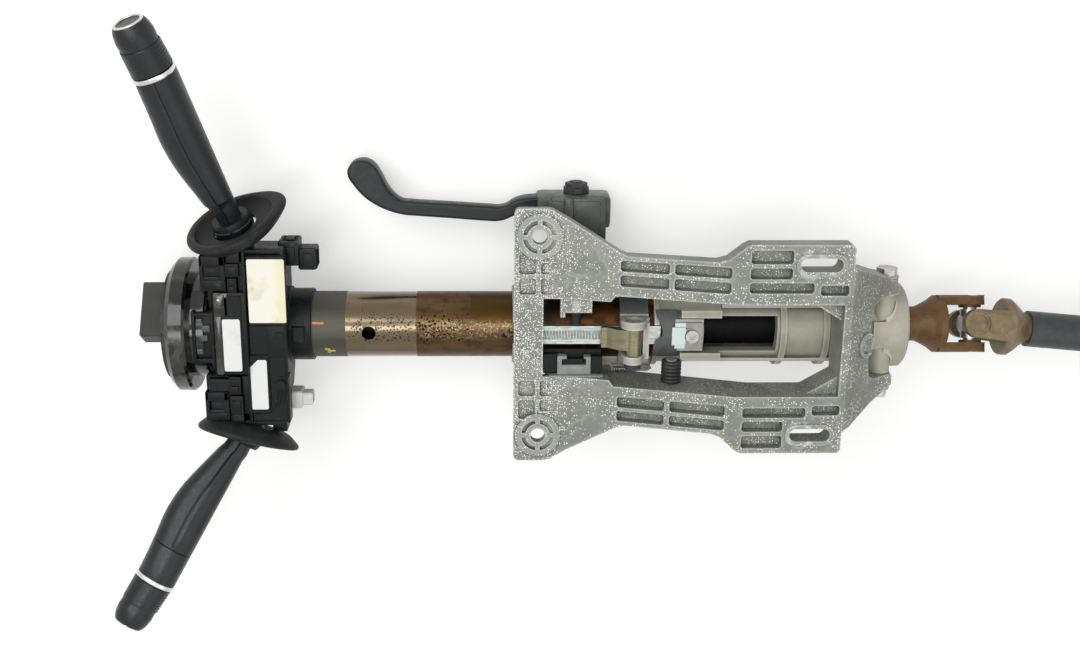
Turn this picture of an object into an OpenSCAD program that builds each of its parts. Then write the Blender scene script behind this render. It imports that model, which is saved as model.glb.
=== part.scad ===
// Rake and reach adjustable steering column with switch module, clamp lever and intermediate shaft.
// Sizes are in millimetres. X runs down the column from the wheel end, Y to the driver's left, Z up.

/* [Jacket tube] */
// Outside diameter of the sliding jacket tube
tube_d = 43; // [41:0.5:45]
// Wall of the jacket tube
tube_wall = 2; // [1.5:0.25:3]
// Length of the jacket tube
tube_len = 296; // [288:1:300]
// Diameter of the round hole in the top of the tube
tube_hole_d = 9; // [6:0.5:12]

/* [Travel] */
// Reach travel towards the driver
reach_out = 45; // [20:1:50]
// Reach travel away from the driver
reach_in = 6; // [3:0.5:6]
// Rake travel, wheel end downwards, in degrees
rake_deg = 4.5; // [2:0.5:5]

/* [Mounting bracket] */
// Overall width of the front strip
bracket_w = 168; // [160:1:180]
// Thickness of the front strip
strip_t = 5.5; // [4.5:0.5:5.5]
// Distance between the two front bolt holes
front_pitch = 132; // [124:1:138]
// Diameter of the front bolt holes
front_hole_d = 9.5; // [8:0.5:10]
// Distance between the two rear slots
rear_pitch = 111; // [106:1:114]
// Length of a rear slot
slot_len = 26; // [20:1:28]
// Width of a rear slot
slot_w = 8.4; // [7:0.2:9]
// Height of the rear lugs above the front strip
lug_rise = 28; // [22:1:32]

/* [Guide housing] */
// Outside diameter of the round part of the housing
housing_d = 50; // [49:0.5:52]
// Wall of the open clamp part of the housing
clamp_wall = 5.2; // [4.5:0.1:6]
// Length of the window in the housing
window_len = 48; // [36:1:52]

/* [Clamp and lever] */
// Diameter of the clamp bolt
clamp_bolt_d = 8; // [7:0.5:9]
// Thickness of the lever hub along the bolt
hub_w = 32; // [29:1:34]
// Length of the lever from the bolt to the paddle end
lever_len = 151; // [135:1:155]

/* [Spindle] */
// Diameter of the wheel spline
spline_d = 17; // [15:0.5:19]
// Length of the wheel spline
spline_len = 24; // [20:1:26]
// Diameter of the spindle tube
spindle_d = 24; // [22:0.5:25]
// Width across the corners of the sliding hexagon
hex_d = 16; // [14:0.5:17]

/* [Universal joints] */
// Width over the two arms of a yoke
yoke_w = 38; // [37:0.5:40]
// Distance between the arms of a yoke
yoke_gap = 25; // [24:0.5:26]
// Diameter of a bearing cup
cup_d = 14.5; // [13:0.5:15]
// Turn of the joints about the column axis, in degrees
joint_clock = -17.5; // [-30:0.5:0]
// Rest angle of the intermediate shaft, in degrees
shaft_deg = 5; // [0:0.5:8]
// Distance between the two joint centres
joint_span = 230; // [225:1:250]
// Diameter of the intermediate shaft tube
shaft_d = 24; // [23:0.5:26]
// Bore of the pinch clamp
pinch_bore_d = 17.5; // [16:0.5:18]

/* [Switch module] */
// Diameter of the clock spring disc
disc_d = 87; // [82:1:92]
// Length of a stalk from its pivot to the tip
stalk_len = 143; // [138:1:150]
// Lean of the left stalk towards the driver, in degrees
left_lean = 19; // [15:0.5:25]
// Lean of the right stalk towards the driver, in degrees
right_lean = 33; // [25:0.5:35]
// Rise of both stalks, in degrees
stalk_rise = 19; // [10:0.5:22]
// Lean of the left boot towards the driver, in degrees
left_boot_lean = 20; // [15:0.5:24]
// Lean of the right boot towards the driver, in degrees
right_boot_lean = 15.5; // [10:0.5:20]
// Rise of both boots, in degrees
boot_rise = 19; // [15:0.5:21]

/* [Clearances] */
// Gap of a running fit on the radius
run_gap = 0.05; // [0.02:0.01:0.08]
// Gap of seated parts on the radius
seat_gap = 0.02; // [0.01:0.01:0.04]
// Gap of a sliding fit on the radius
slide_gap = 0.3; // [0.3:0.05:0.4]
// Gap between faces that pass each other
face_gap = 0.3; // [0.3:0.05:0.5]

/* [Hidden] */
tube_r = tube_d / 2;
tube_in = tube_r - tube_wall;
tube_x0 = 52;
tube_x1 = tube_x0 + tube_len;
guide_r = tube_r + slide_gap;
housing_r = housing_d / 2;
clamp_r = guide_r + clamp_wall;
clamp_x0 = 244;
clamp_x1 = 333;
rack_top = tube_r + 4;
rack_hw = 6;
rack_x1 = 334;
rack_x0 = 252;
rack_pitch = 1.9;
stop_x = rack_x1 + reach_in + 1;
strip_z = 26.5;
plate_z = strip_z + strip_t;
lug_z = plate_z + lug_rise;
strip_x0 = 239.5;
strip_x1 = 258;
slope_x0 = 274;
slope_x1 = 378;
lug_x1 = 447;
slot_x = 426.5;
front_x = 255.3;
open_hw = 30;
wall_in = 30;
wall_out = 35;
cheek_in = 33;
cheek_out = 38;
pivot_x = 480;
pivot_z = 18;
pivot_r = 4;
ear_in = 27;
ear_out = 37;
boss_r = 14.6;
front_hw = 26;
bolt_x = 281.5;
bolt_z = -29;
bolt_r = clamp_bolt_d / 2;
bolt_dx = (bolt_x - pivot_x) * cos(rake_deg) - (bolt_z - pivot_z) * sin(rake_deg) + pivot_x - bolt_x;
bolt_dz = (bolt_x - pivot_x) * sin(rake_deg) + (bolt_z - pivot_z) * cos(rake_deg) + pivot_z - bolt_z;
cam_r = 13;
cam1_y = cheek_out + face_gap;
cam2_y = cam1_y + 5.7;
hub_y0 = cam2_y + face_gap + 5.7;
hub_y1 = hub_y0 + hub_w;
pawl_x = 315.6;
pawl_z = rack_top + 7.5;
pawl_pin_r = 3;
spindle_r = spindle_d / 2;
journal_r = 10;
hex_r = hex_d / 2;
spindle_x1 = 330;
hex_x0 = 225;
sleeve_x0 = 357;
sleeve_x1 = 440;
core_r = 9;
seat_r = 16;
housing_x1 = 484;
low_race_x1 = housing_x1 - 9;
low_race_x0 = low_race_x1 - 12;
low_race_r = 13;
top_race_x0 = tube_x0 + 4;
top_race_x1 = top_race_x0 + 12;
top_race_r = 14.5;
cup_x1 = 496;
cross_x = 545;
shank_x = -46.5;
cup_r = cup_d / 2;
trunnion_r = 4.5;
shaft_r = shaft_d / 2;
carrier_x0 = 44;
carrier_x1 = 91;
socket_wall = 1.6;
socket_floor = 2;
boot_x = 64;
boot_z = 18;
stalk_y = 70;
ball_r = 13;
ball_gap = 0.35;
post_r = 12;
box_y1 = 50;
pinch_end = 60;
pinch_depth = 28;
pinch_bolt_x = 53;
slip_bore_r = 5.5;
sensor_y = 22.5;
sensor_y1 = 31.4;
cover_hw = 56;
boot_hole_r = post_r + 6.2;
ring_s = stalk_len - 34.5;
knob_s = ring_s + 2.6;
cap_s = stalk_len - 15;
disc_r = disc_d / 2;
disc_x = 21.5;

// Points on an arc about a centre, from one angle to another
function arc(x, y, r, a0, a1, steps = 8) =
    [for (i = [0:steps]) let (a = a0 + (a1 - a0) * i / steps) [x + r * cos(a), y + r * sin(a)]];

module xcyl(x0, x1, r) {
    translate([x0, 0, 0]) rotate([0, 90, 0]) cylinder(r = r, h = x1 - x0, $fn = 96);
}

module xring(x0, x1, ro, ri) {
    difference() {
        xcyl(x0, x1, ro);
        xcyl(x0 - 1, x1 + 1, ri);
    }
}

module ycyl(x, z, y0, y1, r) {
    translate([x, y1, z]) rotate([90, 0, 0]) cylinder(r = r, h = y1 - y0, $fn = 64);
}

module zcyl(x, y, z0, z1, r) {
    translate([x, y, z0]) cylinder(r = r, h = z1 - z0, $fn = 64);
}

module lathe_x(p) {
    rotate([0, 90, 0]) rotate_extrude($fn = 96) polygon(p);
}

module lathe_y(x, z, p) {
    translate([x, 0, z]) rotate([-90, 0, 0]) rotate_extrude($fn = 96) polygon(p);
}

module slab_x(x0, x1, p) {
    translate([x0, 0, 0]) rotate([90, 0, 90]) linear_extrude(x1 - x0) polygon(p);
}

module slab_y(y0, y1, p) {
    translate([0, y1, 0]) rotate([90, 0, 0]) linear_extrude(y1 - y0) polygon(p);
}

module slab_z(z0, z1, p) {
    translate([0, 0, z0]) linear_extrude(z1 - z0) polygon(p);
}

module block(x0, x1, y0, y1, z0, z1) {
    translate([x0, y0, z0]) cube([x1 - x0, y1 - y0, z1 - z0]);
}

module cut_box(x0, x1, y0, y1, z0, z1, c) {
    intersection() {
        slab_x(x0, x1, [[y0 + c, z0], [y1 - c, z0], [y1, z0 + c], [y1, z1 - c],
            [y1 - c, z1], [y0 + c, z1], [y0, z1 - c], [y0, z0 + c]]);
        slab_y(y0, y1, [[x0 + c, z0], [x1 - c, z0], [x1, z0 + c], [x1, z1 - c],
            [x1 - c, z1], [x0 + c, z1], [x0, z1 - c], [x0, z0 + c]]);
        slab_z(z0, z1, [[x0 + c, y0], [x1 - c, y0], [x1, y0 + c], [x1, y1 - c],
            [x1 - c, y1], [x0 + c, y1], [x0, y1 - c], [x0, y0 + c]]);
    }
}

module both_sides() {
    children();
    mirror([0, 1, 0]) children();
}

module stadium_x(x, y, z0, z1, len, w) {
    block(x - (len - w) / 2, x + (len - w) / 2, y - w / 2, y + w / 2, z0, z1);
    zcyl(x - (len - w) / 2, y, z0, z1, w / 2);
    zcyl(x + (len - w) / 2, y, z0, z1, w / 2);
}

// Plan of one half of the bracket, from the front strip back to the pivot ears
module bracket_plan() {
    w = bracket_w / 2;
    slab_z(-60, 120, [[strip_x0, -0.01], [strip_x0, w - 3], [strip_x0 + 0.9, w - 0.9], [strip_x0 + 3, w],
        [260, w], [263, w - 1], [306, 57.5], [310, 56], [364, 56], [370, 58], [379, 66], [383, 68],
        [lug_x1 - 2, 68], [lug_x1, 66], [lug_x1, 54], [484, ear_out], [487.5, ear_out - 3],
        [487.5, ear_in + 1], [486.5, ear_in], [473, ear_in], [468, 24], [466, 16], [465, -0.01]]);
}

// Side view of the cast plate
module bracket_side() {
    slab_y(-120, 120, [[strip_x0 - 1, strip_z], [strip_x0 - 1, plate_z], [slope_x0, plate_z],
        [slope_x1, lug_z], [lug_x1 + 0.6, lug_z], [lug_x1 + 5, lug_z - 3], [471, lug_z - 24], [482, 27],
        [489, 24], [489, pivot_z - 7], [477, pivot_z - 7], [466, lug_z - 31], [lug_x1, lug_z - 14],
        [slope_x1, lug_z - 13], [slope_x0, plate_z - 11], [264, plate_z - 9], [260, strip_z]]);
}

// Room above the pocket floors
module bracket_floor() {
    slab_y(-120, 120, [[strip_x0 - 1, plate_z - 3.2], [256, plate_z - 3.2], [267, plate_z],
        [slope_x0, plate_z], [300, plate_z + 7], [303, plate_z + 0.6], [slope_x1, lug_z - 7],
        [lug_x1, lug_z - 7], [lug_x1, 130], [strip_x0 - 1, 130]]);
}

module pocket(x0, x1, y0, y1) {
    c = 1.2;
    slab_z(0, 120, [[x0 + c, y0], [x1 - c, y0], [x1, y0 + c], [x1, y1 - c],
        [x1 - c, y1], [x0 + c, y1], [x0, y1 - c], [x0, y0 + c]]);
}

module bracket_pockets() {
    hy = front_pitch / 2;
    difference() {
        union() {
            pocket(242.5, 253.3, 28.8, 39.3);
            pocket(242.5, 253.3, 42, 55);
            pocket(256.2, 267, 28.8, 39.3);
            pocket(256.2, 267, 42, 49.5);
        }
        zcyl(front_x, hy, 0, 120, boss_r);
    }
    for (x = [[305.5, 335], [338.2, 372]]) {
        pocket(x[0], x[1], 36.5, 43.8);
        pocket(x[0], x[1], 46.2, 53.2);
    }
    pocket(383, 423, 37.4, 44);
    pocket(383, 409, 46.4, 53.4);
    pocket(383, 409, 56, 64.6);
    pocket(427, 444.6, 36, 42.5);
    difference() {
        zcyl(front_x, hy, 0, 120, 10.6);
        zcyl(front_x, hy, 0, 120, 8);
        block(front_x - 20, front_x + 20, hy - 1.5, hy + 1.5, 0, 120);
        block(front_x - 1.5, front_x + 1.5, hy - 20, hy + 20, 0, 120);
    }
}

module bracket_half() {
    hy = front_pitch / 2;
    difference() {
        union() {
            difference() {
                union() {
                    intersection() {
                        bracket_plan();
                        bracket_side();
                    }
                    // Raised round pad at the front bolt hole
                    intersection() {
                        zcyl(front_x, hy, plate_z - 4, plate_z + 0.8, boss_r);
                        bracket_plan();
                    }
                }
                intersection() {
                    bracket_pockets();
                    bracket_floor();
                }
                slab_z(-60, 120, [[strip_x1, -5], [strip_x1, front_hw], [300, front_hw], [303, open_hw],
                    [443, open_hw], [443, -5]]);
            }
            // Wall down the inner edge of the beam
            slab_y(wall_in, wall_out, [[strip_x1, strip_z], [264, plate_z - 3], [slope_x0, plate_z - 3],
                [slope_x1, lug_z - 3], [lug_x1, lug_z - 3], [lug_x1, lug_z - 28], [390, lug_z - 28],
                [308, 6], [strip_x1 + 4, 6]]);
            // Gussets between the wall and the cross wall
            slab_z(lug_z - 27, lug_z - 6, [[422, wall_in + 1], [444, 18], [444, wall_in + 1]]);
            // Cheek beside the clamp
            slab_y(cheek_in, cheek_out, [[262, plate_z - 4], [262, -38], [270, -54], [299, -54], [306, -38],
                [306, plate_z - 4]]);
            // Pivot ear
            ycyl(pivot_x, pivot_z, ear_in, ear_out, 7.5);
            // Seat round the front bolt hole
            zcyl(front_x, hy, plate_z - 4, plate_z + 1, 6.9);
            // Rim round the rear slot
            stadium_x(slot_x, rear_pitch / 2, lug_z - 3, lug_z + 1, slot_len + 5.4, slot_w + 5.4);
        }
        zcyl(front_x, hy, 0, 120, front_hole_d / 2);
        stadium_x(slot_x, rear_pitch / 2, 0, 120, slot_len, slot_w);
        ycyl(pivot_x, pivot_z, ear_in - 1, ear_out + 1, pivot_r + seat_gap);
        ycyl(pivot_x, pivot_z, ear_out, ear_out + 30, 9.4);
        // Slanted slot that lets the clamp bolt follow the rake
        clamp_slot();
    }
}

module clamp_slot() {
    r = bolt_r + 0.6;
    len = sqrt(bolt_dx * bolt_dx + bolt_dz * bolt_dz);
    ang = atan2(-bolt_dz, bolt_dx);
    ycyl(bolt_x, bolt_z, cheek_in - 1, cheek_out + 1, r);
    ycyl(bolt_x + bolt_dx, bolt_z + bolt_dz, cheek_in - 1, cheek_out + 1, r);
    translate([bolt_x, 0, bolt_z]) rotate([0, ang, 0]) block(0, len, cheek_in - 1, cheek_out + 1, -r, r);
}

module mounting_bracket() {
    color([0.6, 0.61, 0.62]) difference() {
        union() {
            both_sides() bracket_half();
            // Cross wall
            block(443, 446.5, -wall_out, wall_out, lug_z - 28, lug_z);
            // Horseshoe ridge on the sloping face
            translate([461.5, 0, lug_z - 13.2]) rotate([0, 42, 0]) difference() {
                cylinder(r = 8, h = 4, center = true, $fn = 64);
                translate([0, 0, 0.6]) cylinder(r = 5.6, h = 4, $fn = 64);
                translate([3, -5.6, 0.6]) cube([8, 11.2, 4]);
            }
            // Arm that carries the rake stop
            block(269, 289, 16.5, 27, plate_z - 8, plate_z - 1);
            block(269, 272, 13.5, 18, plate_z - 8, plate_z - 1);
            // Post of the balance spring
            ycyl(341, lug_z - 29, -wall_in - 1, -14.5, 3.4);
        }
        ycyl(279, plate_z - 4.4, 15, 24, 3 + seat_gap);
    }
}

module rake_pivot_bolts() {
    color([0.5, 0.5, 0.52]) both_sides() {
        ycyl(pivot_x, pivot_z, 19, ear_out + 1, pivot_r);
        ycyl(pivot_x, pivot_z, ear_out, ear_out + 1.6, 8);
        translate([pivot_x, ear_out + 6.6, pivot_z]) rotate([90, 0, 0]) cylinder(r = 7, h = 5.1, $fn = 6);
    }
}

module rake_stop_pin() {
    color([0.05, 0.05, 0.05]) {
        ycyl(279, plate_z - 4.4, 9, 23, 3);
        ycyl(279, plate_z - 4.4, 8, 16.4, 3.4);
    }
}

module balance_spring() {
    color([0.2, 0.2, 0.21]) difference() {
        translate([341, 0, lug_z - 29]) rotate([90, 0, 0]) rotate_extrude($fn = 64) {
            for (i = [0:5]) translate([5.2, 16.2 + i * 2.4]) circle(r = 1.35, $fn = 32);
            translate([3.5, 15.2]) square([1.5, 14.4]);
        }
        block(330, 350, -19, -13, 90, 100);
    }
}

module harness_clip() {
    color([0.55, 0.56, 0.57]) {
        block(262, 297, -front_hw, -24.6, plate_z - 8, plate_z + 2);
        block(267.5, 289, -25, -18.5, plate_z - 7, plate_z - 1);
        block(267.5, 270.5, -19, -12.5, plate_z - 7, plate_z - 1);
        block(267.5, 273.5, -14.5, -12.5, plate_z - 7, plate_z - 1);
        block(286, 289, -19, -13, plate_z - 7, plate_z - 1);
        block(284.6, 289, -14.5, -13, plate_z - 7, plate_z - 1);
    }
}

module clip_insert() {
    color([0.05, 0.05, 0.05]) {
        block(258.5, 267.4, -24.4, -11.5, plate_z - 10, plate_z - 2);
        block(289.1, 296.5, -24.4, -13, plate_z - 10, plate_z - 2);
        block(259, 296, -24.4, -9.5, plate_z - 10, plate_z - 7.1);
        block(271, 284, -18.4, -14.8, plate_z - 10, plate_z - 3);
    }
}

module guide_housing() {
    rx = stop_x + 4.3;
    color([0.58, 0.59, 0.6]) difference() {
        union() {
            xcyl(clamp_x0, clamp_x1, clamp_r);
            xcyl(clamp_x1 - 6, housing_x1, housing_r);
            // Clamp ears below the tube
            slab_y(-cheek_in + face_gap, cheek_in - face_gap, [[266, -12], [266, -38], [270, -42],
                [294, -42], [298, -38], [298, -12]]);
            // Rails beside the rack and the window
            both_sides() block(347, 373, 11.8, 16.8, 12, housing_r + 2.4);
            // Seat of the travel stop
            block(stop_x + 2, 361.5, -10.5, 10.5, 15, housing_r + 0.4);
            // Pivot bosses
            both_sides() ycyl(pivot_x, pivot_z, 10, ear_in - face_gap, 7);
            // Stiffening ribs
            both_sides() block(374, 468, 17, 19, 0, 21);
            xring(412, 416, housing_r + 2, housing_r - 2);
            xring(440, 444, housing_r + 2, housing_r - 2);
        }
        xcyl(clamp_x0 - 1, tube_x1 + reach_in + 2, guide_r);
        xcyl(clamp_x0, 458, seat_r + 1.5);
        xcyl(low_race_x0 - 13, low_race_x0, 15);
        xcyl(462, housing_x1 + 1, seat_r + seat_gap);
        // Open top of the clamp part
        block(clamp_x0 - 1, clamp_x1 - 3, -40, 40, 8, 60);
        // Slot for the rack
        block(clamp_x1 - 8, rx, -rack_hw - 0.8, rack_hw + 0.8, 10, 60);
        // Window
        block(362, 362 + window_len, -11.8, 11.8, 5, 60);
        // Slit between the clamp ears
        block(clamp_x0 - 1, 300, -1.5, 1.5, -50, 0);
        ycyl(bolt_x, bolt_z, -40, 40, bolt_r + seat_gap);
        both_sides() ycyl(pivot_x, pivot_z, 18.5, 40, pivot_r + run_gap);
        // Thread of the stop screw
        zcyl(354, 0, 20, 60, 2.4 + seat_gap);
    }
}

module guide_bush() {
    color([0.8, 0.77, 0.66]) difference() {
        xring(clamp_x0 - 5, clamp_x0, clamp_r - 1.5, guide_r);
        block(clamp_x0 - 6, clamp_x0 + 1, -rack_hw - 1, rack_hw + 1, 10, 40);
        block(clamp_x0 - 6, clamp_x0 + 1, -40, 40, 21, 60);
    }
}

module slot_plate() {
    color([0.16, 0.17, 0.18]) difference() {
        intersection() {
            xring(clamp_x1, 346.5, housing_r + 1.6, housing_r + seat_gap);
            slab_z(0, 60, [[clamp_x1 - 3, -15], [338, -15], [340, -12.5], [342, -15], [347, -15], [347, 15],
                [342, 15], [340, 12.5], [338, 15], [clamp_x1 - 3, 15]]);
        }
        block(clamp_x1 - 8, stop_x + 3, -rack_hw - 0.8, rack_hw + 0.8, 10, 60);
        block(stop_x + 1.5, 362, -10.6, 10.6, 10, 60);
    }
}

module travel_stop() {
    z0 = housing_r + 0.4;
    color([0.66, 0.67, 0.68]) difference() {
        union() {
            block(stop_x + 2, 361, -8.6, 8.6, z0, z0 + 2);
            block(stop_x, stop_x + 4, -rack_hw, rack_hw, tube_r + 1, z0 + 3.2);
            zcyl(stop_x + rack_hw + 0.3, 0, z0, z0 + 3.2, rack_hw);
        }
        zcyl(354, 0, z0 - 1, 60, 2.4 + seat_gap);
        zcyl(354, 0, z0 + 2, 60, 4.6);
    }
}

module stop_screw() {
    z0 = housing_r + 2.4;
    color([0.7, 0.7, 0.7]) difference() {
        union() {
            zcyl(354, 0, guide_r + 0.6, z0 + 0.5, 2.4);
            zcyl(354, 0, z0, z0 + 2.6, 4.2);
        }
        translate([354, 0, z0 + 1]) cylinder(r = 2.2, h = 5, $fn = 6);
    }
}

module pawl_bracket() {
    color([0.7, 0.71, 0.72]) difference() {
        union() {
            intersection() {
                xring(308, 326, clamp_r, tube_r + 0.8);
                block(300, 330, -40, 40, 8, 60);
            }
            // Posts that hold the pawl pin
            slab_y(7.6, 12.6, [[308, 18], [326, 18], [326, rack_top + 4], [322, pawl_z], [309.2, pawl_z],
                [308, rack_top]]);
            ycyl(pawl_x, pawl_z, 7.6, 12.6, 8.2);
            slab_y(-16, -11, [[308, 16], [326, 16], [326, rack_top + 4], [322, pawl_z], [309.2, pawl_z],
                [308, rack_top]]);
            ycyl(pawl_x, pawl_z, -16, -11, 6.5);
            // Wall behind the pawl
            block(322.2, 326, -14, 10, rack_top + 0.8, rack_top + 6);
        }
        xcyl(300, 330, tube_r + 0.8);
        block(300, 330, -rack_hw - 0.8, rack_hw + 0.8, 10, rack_top + 0.8);
        ycyl(pawl_x, pawl_z, -20, 20, pawl_pin_r + seat_gap);
        ycyl(pawl_x, pawl_z, 10.6, 20, 5.6);
    }
}

module pawl_pin() {
    color([0.75, 0.75, 0.76]) {
        ycyl(pawl_x, pawl_z, -17, 10.4, pawl_pin_r);
        ycyl(pawl_x, pawl_z, -19.5, -16, 5.4);
    }
}

module lock_pawl() {
    color([0.45, 0.4, 0.22]) difference() {
        union() {
            ycyl(pawl_x, pawl_z, -10.6, 7.2, 5.2);
            slab_y(-7, 6.4, [[pawl_x, pawl_z + 4.4], [306, pawl_z + 2.6], [299, rack_top + 4.4],
                [295.5, rack_top + 4.6], [295.2, rack_top + 2.6], [296.4, rack_top + 0.5],
                [299, rack_top + 0.5], [304, rack_top + 3], [pawl_x, pawl_z - 3]]);
        }
        ycyl(pawl_x, pawl_z, -20, 20, pawl_pin_r + run_gap);
    }
}

module lower_bearing_outer() {
    color([0.55, 0.55, 0.56]) xring(low_race_x0, low_race_x1, seat_r, low_race_r);
}

module lower_bearing_inner() {
    color([0.6, 0.6, 0.61]) xring(low_race_x0, low_race_x1, low_race_r - run_gap, journal_r + seat_gap);
}

module end_bush() {
    color([0.78, 0.72, 0.58]) difference() {
        lathe_x([[journal_r + 0.6, low_race_x1 + 0.5], [seat_r, low_race_x1 + 0.5],
            [seat_r, housing_x1 + 0.2], [housing_r + 0.1, housing_x1 + 0.2],
            [housing_r + 0.1, housing_x1 - 12], [housing_r + 3.2, housing_x1 - 12],
            [housing_r + 3.2, cup_x1 - 1.5], [housing_r + 1.7, cup_x1], [14, cup_x1], [12.5, cup_x1 - 2],
            [journal_r + 0.6, cup_x1 - 2]]);
        // Room for the pivot bosses
        both_sides() ycyl(pivot_x, pivot_z, 9, 40, 7.4);
        both_sides() block(housing_x1 - 19, pivot_x, 9, 40, pivot_z - 7.4, pivot_z + 20);
    }
}

module clamp_bolt() {
    color([0.5, 0.5, 0.5]) {
        ycyl(bolt_x, bolt_z, -54, hub_y1 + 8, bolt_r);
        ycyl(bolt_x, bolt_z, hub_y1 + face_gap, hub_y1 + 4, 8.5);
        translate([bolt_x, hub_y1 + 7, bolt_z]) rotate([90, 0, 0]) cylinder(r = 7.5, h = 3.5, $fn = 6);
    }
}

module clamp_nut() {
    color([0.6, 0.6, 0.58]) difference() {
        union() {
            ycyl(bolt_x, bolt_z, -cheek_out - face_gap - 2.2, -cheek_out - face_gap, 11.5);
            translate([bolt_x, -cheek_out - face_gap - 2, bolt_z]) rotate([90, 0, 0])
                cylinder(r = 8, h = 8, $fn = 6);
        }
        ycyl(bolt_x, bolt_z, -60, 0, bolt_r + seat_gap);
    }
}

module fixed_cam() {
    color([0.42, 0.42, 0.43]) difference() {
        union() {
            ycyl(bolt_x, bolt_z, cam1_y, cam2_y, cam_r);
            block(bolt_x - 4.5, bolt_x + 4.5, cam1_y, cam2_y, bolt_z, bolt_z + cam_r + 3);
        }
        ycyl(bolt_x, bolt_z, 20, 100, bolt_r + seat_gap);
    }
}

module lever_cam() {
    color([0.42, 0.42, 0.43]) difference() {
        ycyl(bolt_x, bolt_z, cam2_y + face_gap, hub_y0, cam_r);
        ycyl(bolt_x, bolt_z, 20, 100, bolt_r + run_gap);
    }
}

module clamp_lever() {
    tip = bolt_x - lever_len;
    color([0.06, 0.06, 0.06]) difference() {
        union() {
            slab_y(hub_y0, hub_y1, [[257, bolt_z + 8], [262, bolt_z + 14], [298, bolt_z + 14],
                [304, bolt_z + 8], [304, bolt_z - 10], [298, bolt_z - 14], [268, bolt_z - 14],
                [257, bolt_z - 4]]);
            // Rib on the hub
            block(273, 279, hub_y0 + 4, hub_y1 - 2, bolt_z + 13, bolt_z + 17);
            // Arm with its step, then the sweep out to the paddle
            slab_z(bolt_z - 5, bolt_z + 7, concat(
                [[258, hub_y1 - 2], [245, hub_y1 - 2.5], [239.6, hub_y1 - 4], [235, hub_y1 - 7.8],
                    [231, hub_y1 - 9.4]],
                arc(tip + 53.8, hub_y1 + 23.7, 34.1, -121, -160),
                [[tip + 10, hub_y1 + 11]],
                arc(tip + 47.9, hub_y1 + 39.3, 56.3, -142, -105),
                [[231, hub_y1 - 19.7], [235.7, hub_y1 - 18.6], [240.3, hub_y1 - 15.2], [247, hub_y1 - 13],
                    [258, hub_y1 - 13]]));
            // Paddle end
            translate([tip + 10.9, hub_y1 + 11, bolt_z - 7]) cylinder(r = 10.9, h = 16, $fn = 64);
        }
        ycyl(bolt_x, bolt_z, 20, 120, bolt_r + run_gap);
    }
}

module jacket_tube() {
    color([0.42, 0.34, 0.28]) difference() {
        xcyl(tube_x0, tube_x1, tube_r);
        xcyl(tube_x0 - 1, tube_x1 + 1, tube_in);
        zcyl(146.6, 0, 0, 40, tube_hole_d / 2);
    }
}

module rack_strip() {
    color([0.5, 0.47, 0.44]) difference() {
        block(rack_x0, rack_x1, -rack_hw, rack_hw, 12, rack_top);
        xcyl(rack_x0 - 1, rack_x1 + 1, tube_r + seat_gap);
        for (i = [0:24]) translate([259 + i * rack_pitch, 0, 0]) rotate([0, 0, 6]) slab_y(-3, 3,
            [[-0.8, rack_top + 1], [-0.8, rack_top], [-0.35, rack_top - 1.2], [0.35, rack_top - 1.2],
            [0.8, rack_top], [0.8, rack_top + 1]]);
    }
}

module tube_collar() {
    color([0.06, 0.06, 0.06]) difference() {
        union() {
            xcyl(carrier_x1, 110, tube_r + 2);
            xcyl(carrier_x1, 96, tube_r + 3.4);
            block(98.5, 106, -5, 5, 10, tube_r + 4);
        }
        xcyl(60, 120, tube_r + seat_gap);
    }
}

module upper_bearing_outer() {
    color([0.55, 0.55, 0.56]) xring(top_race_x0, top_race_x1, tube_in - seat_gap, top_race_r);
}

module upper_bearing_inner() {
    color([0.6, 0.6, 0.61]) xring(top_race_x0, top_race_x1, top_race_r - run_gap, journal_r + seat_gap);
}

module switch_carrier() {
    // A polygon with a corner every 15 degrees is drawn this much larger to keep its sides clear
    grow = (ball_r + ball_gap) / cos(7.5);
    color([0.05, 0.05, 0.05]) difference() {
        union() {
            slab_x(carrier_x0 + 2, carrier_x1, [[-50, -24], [-38, -34], [38, -34], [50, -24], [50, 16],
                [44, 22], [-44, 22], [-50, 16]]);
            xcyl(carrier_x0, carrier_x0 + 2, 32);
            // Posts that carry the balls of the stalks
            both_sides() ycyl(boot_x, boot_z, 40, stalk_y - 8, post_r);
        }
        xcyl(40, 120, tube_r + seat_gap);
        both_sides() block(carrier_x0 - 2, boot_x + 20, 30, cover_hw + face_gap, 22, 40);
        both_sides() lathe_y(boot_x, boot_z, [for (a = [-90:15:90])
            [grow * cos(a), stalk_y + grow * sin(a)]]);
    }
}

module module_cover() {
    color([0.06, 0.06, 0.06]) difference() {
        union() {
            cut_box(72, 96, -cover_hw, cover_hw, 22, 34, 1.2);
            cut_box(73, 97.5, 9, 55, 30, 36.4, 1);
            cut_box(71, 85, -50, -10, 30, 35.2, 1);
        }
        xcyl(40, 120, tube_r + 3.7);
        zcyl(91.5, -30, 30, 50, 1.6);
        zcyl(91.5, 2, 30, 50, 1.6);
    }
}

module module_screws() {
    color([0.6, 0.6, 0.6]) for (y = [-30, 2]) {
        zcyl(91.5, y, 30, 34.6, 1.58);
        zcyl(91.5, y, 34, 36, 3);
    }
}

module angle_sensor() {
    color([0.07, 0.07, 0.07]) union() {
        cut_box(51, 71, -sensor_y, sensor_y1, 22, 37, 1.2);
        cut_box(53, 70, -sensor_y + 2, sensor_y1 - 2, 36, 38.4, 0.8);
    }
}

// The box lies on one side of the axis, with its latch on top
module switch_box(y0) {
    cut_box(43.5, 71, y0, box_y1, 22, 31, 1.2);
    cut_box(46, 60, y0 + 1.5, box_y1 - 2, 30, 35, 1);
}

module left_switch_box() {
    color([0.06, 0.06, 0.06]) switch_box(sensor_y1 + 0.6);
}

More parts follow.
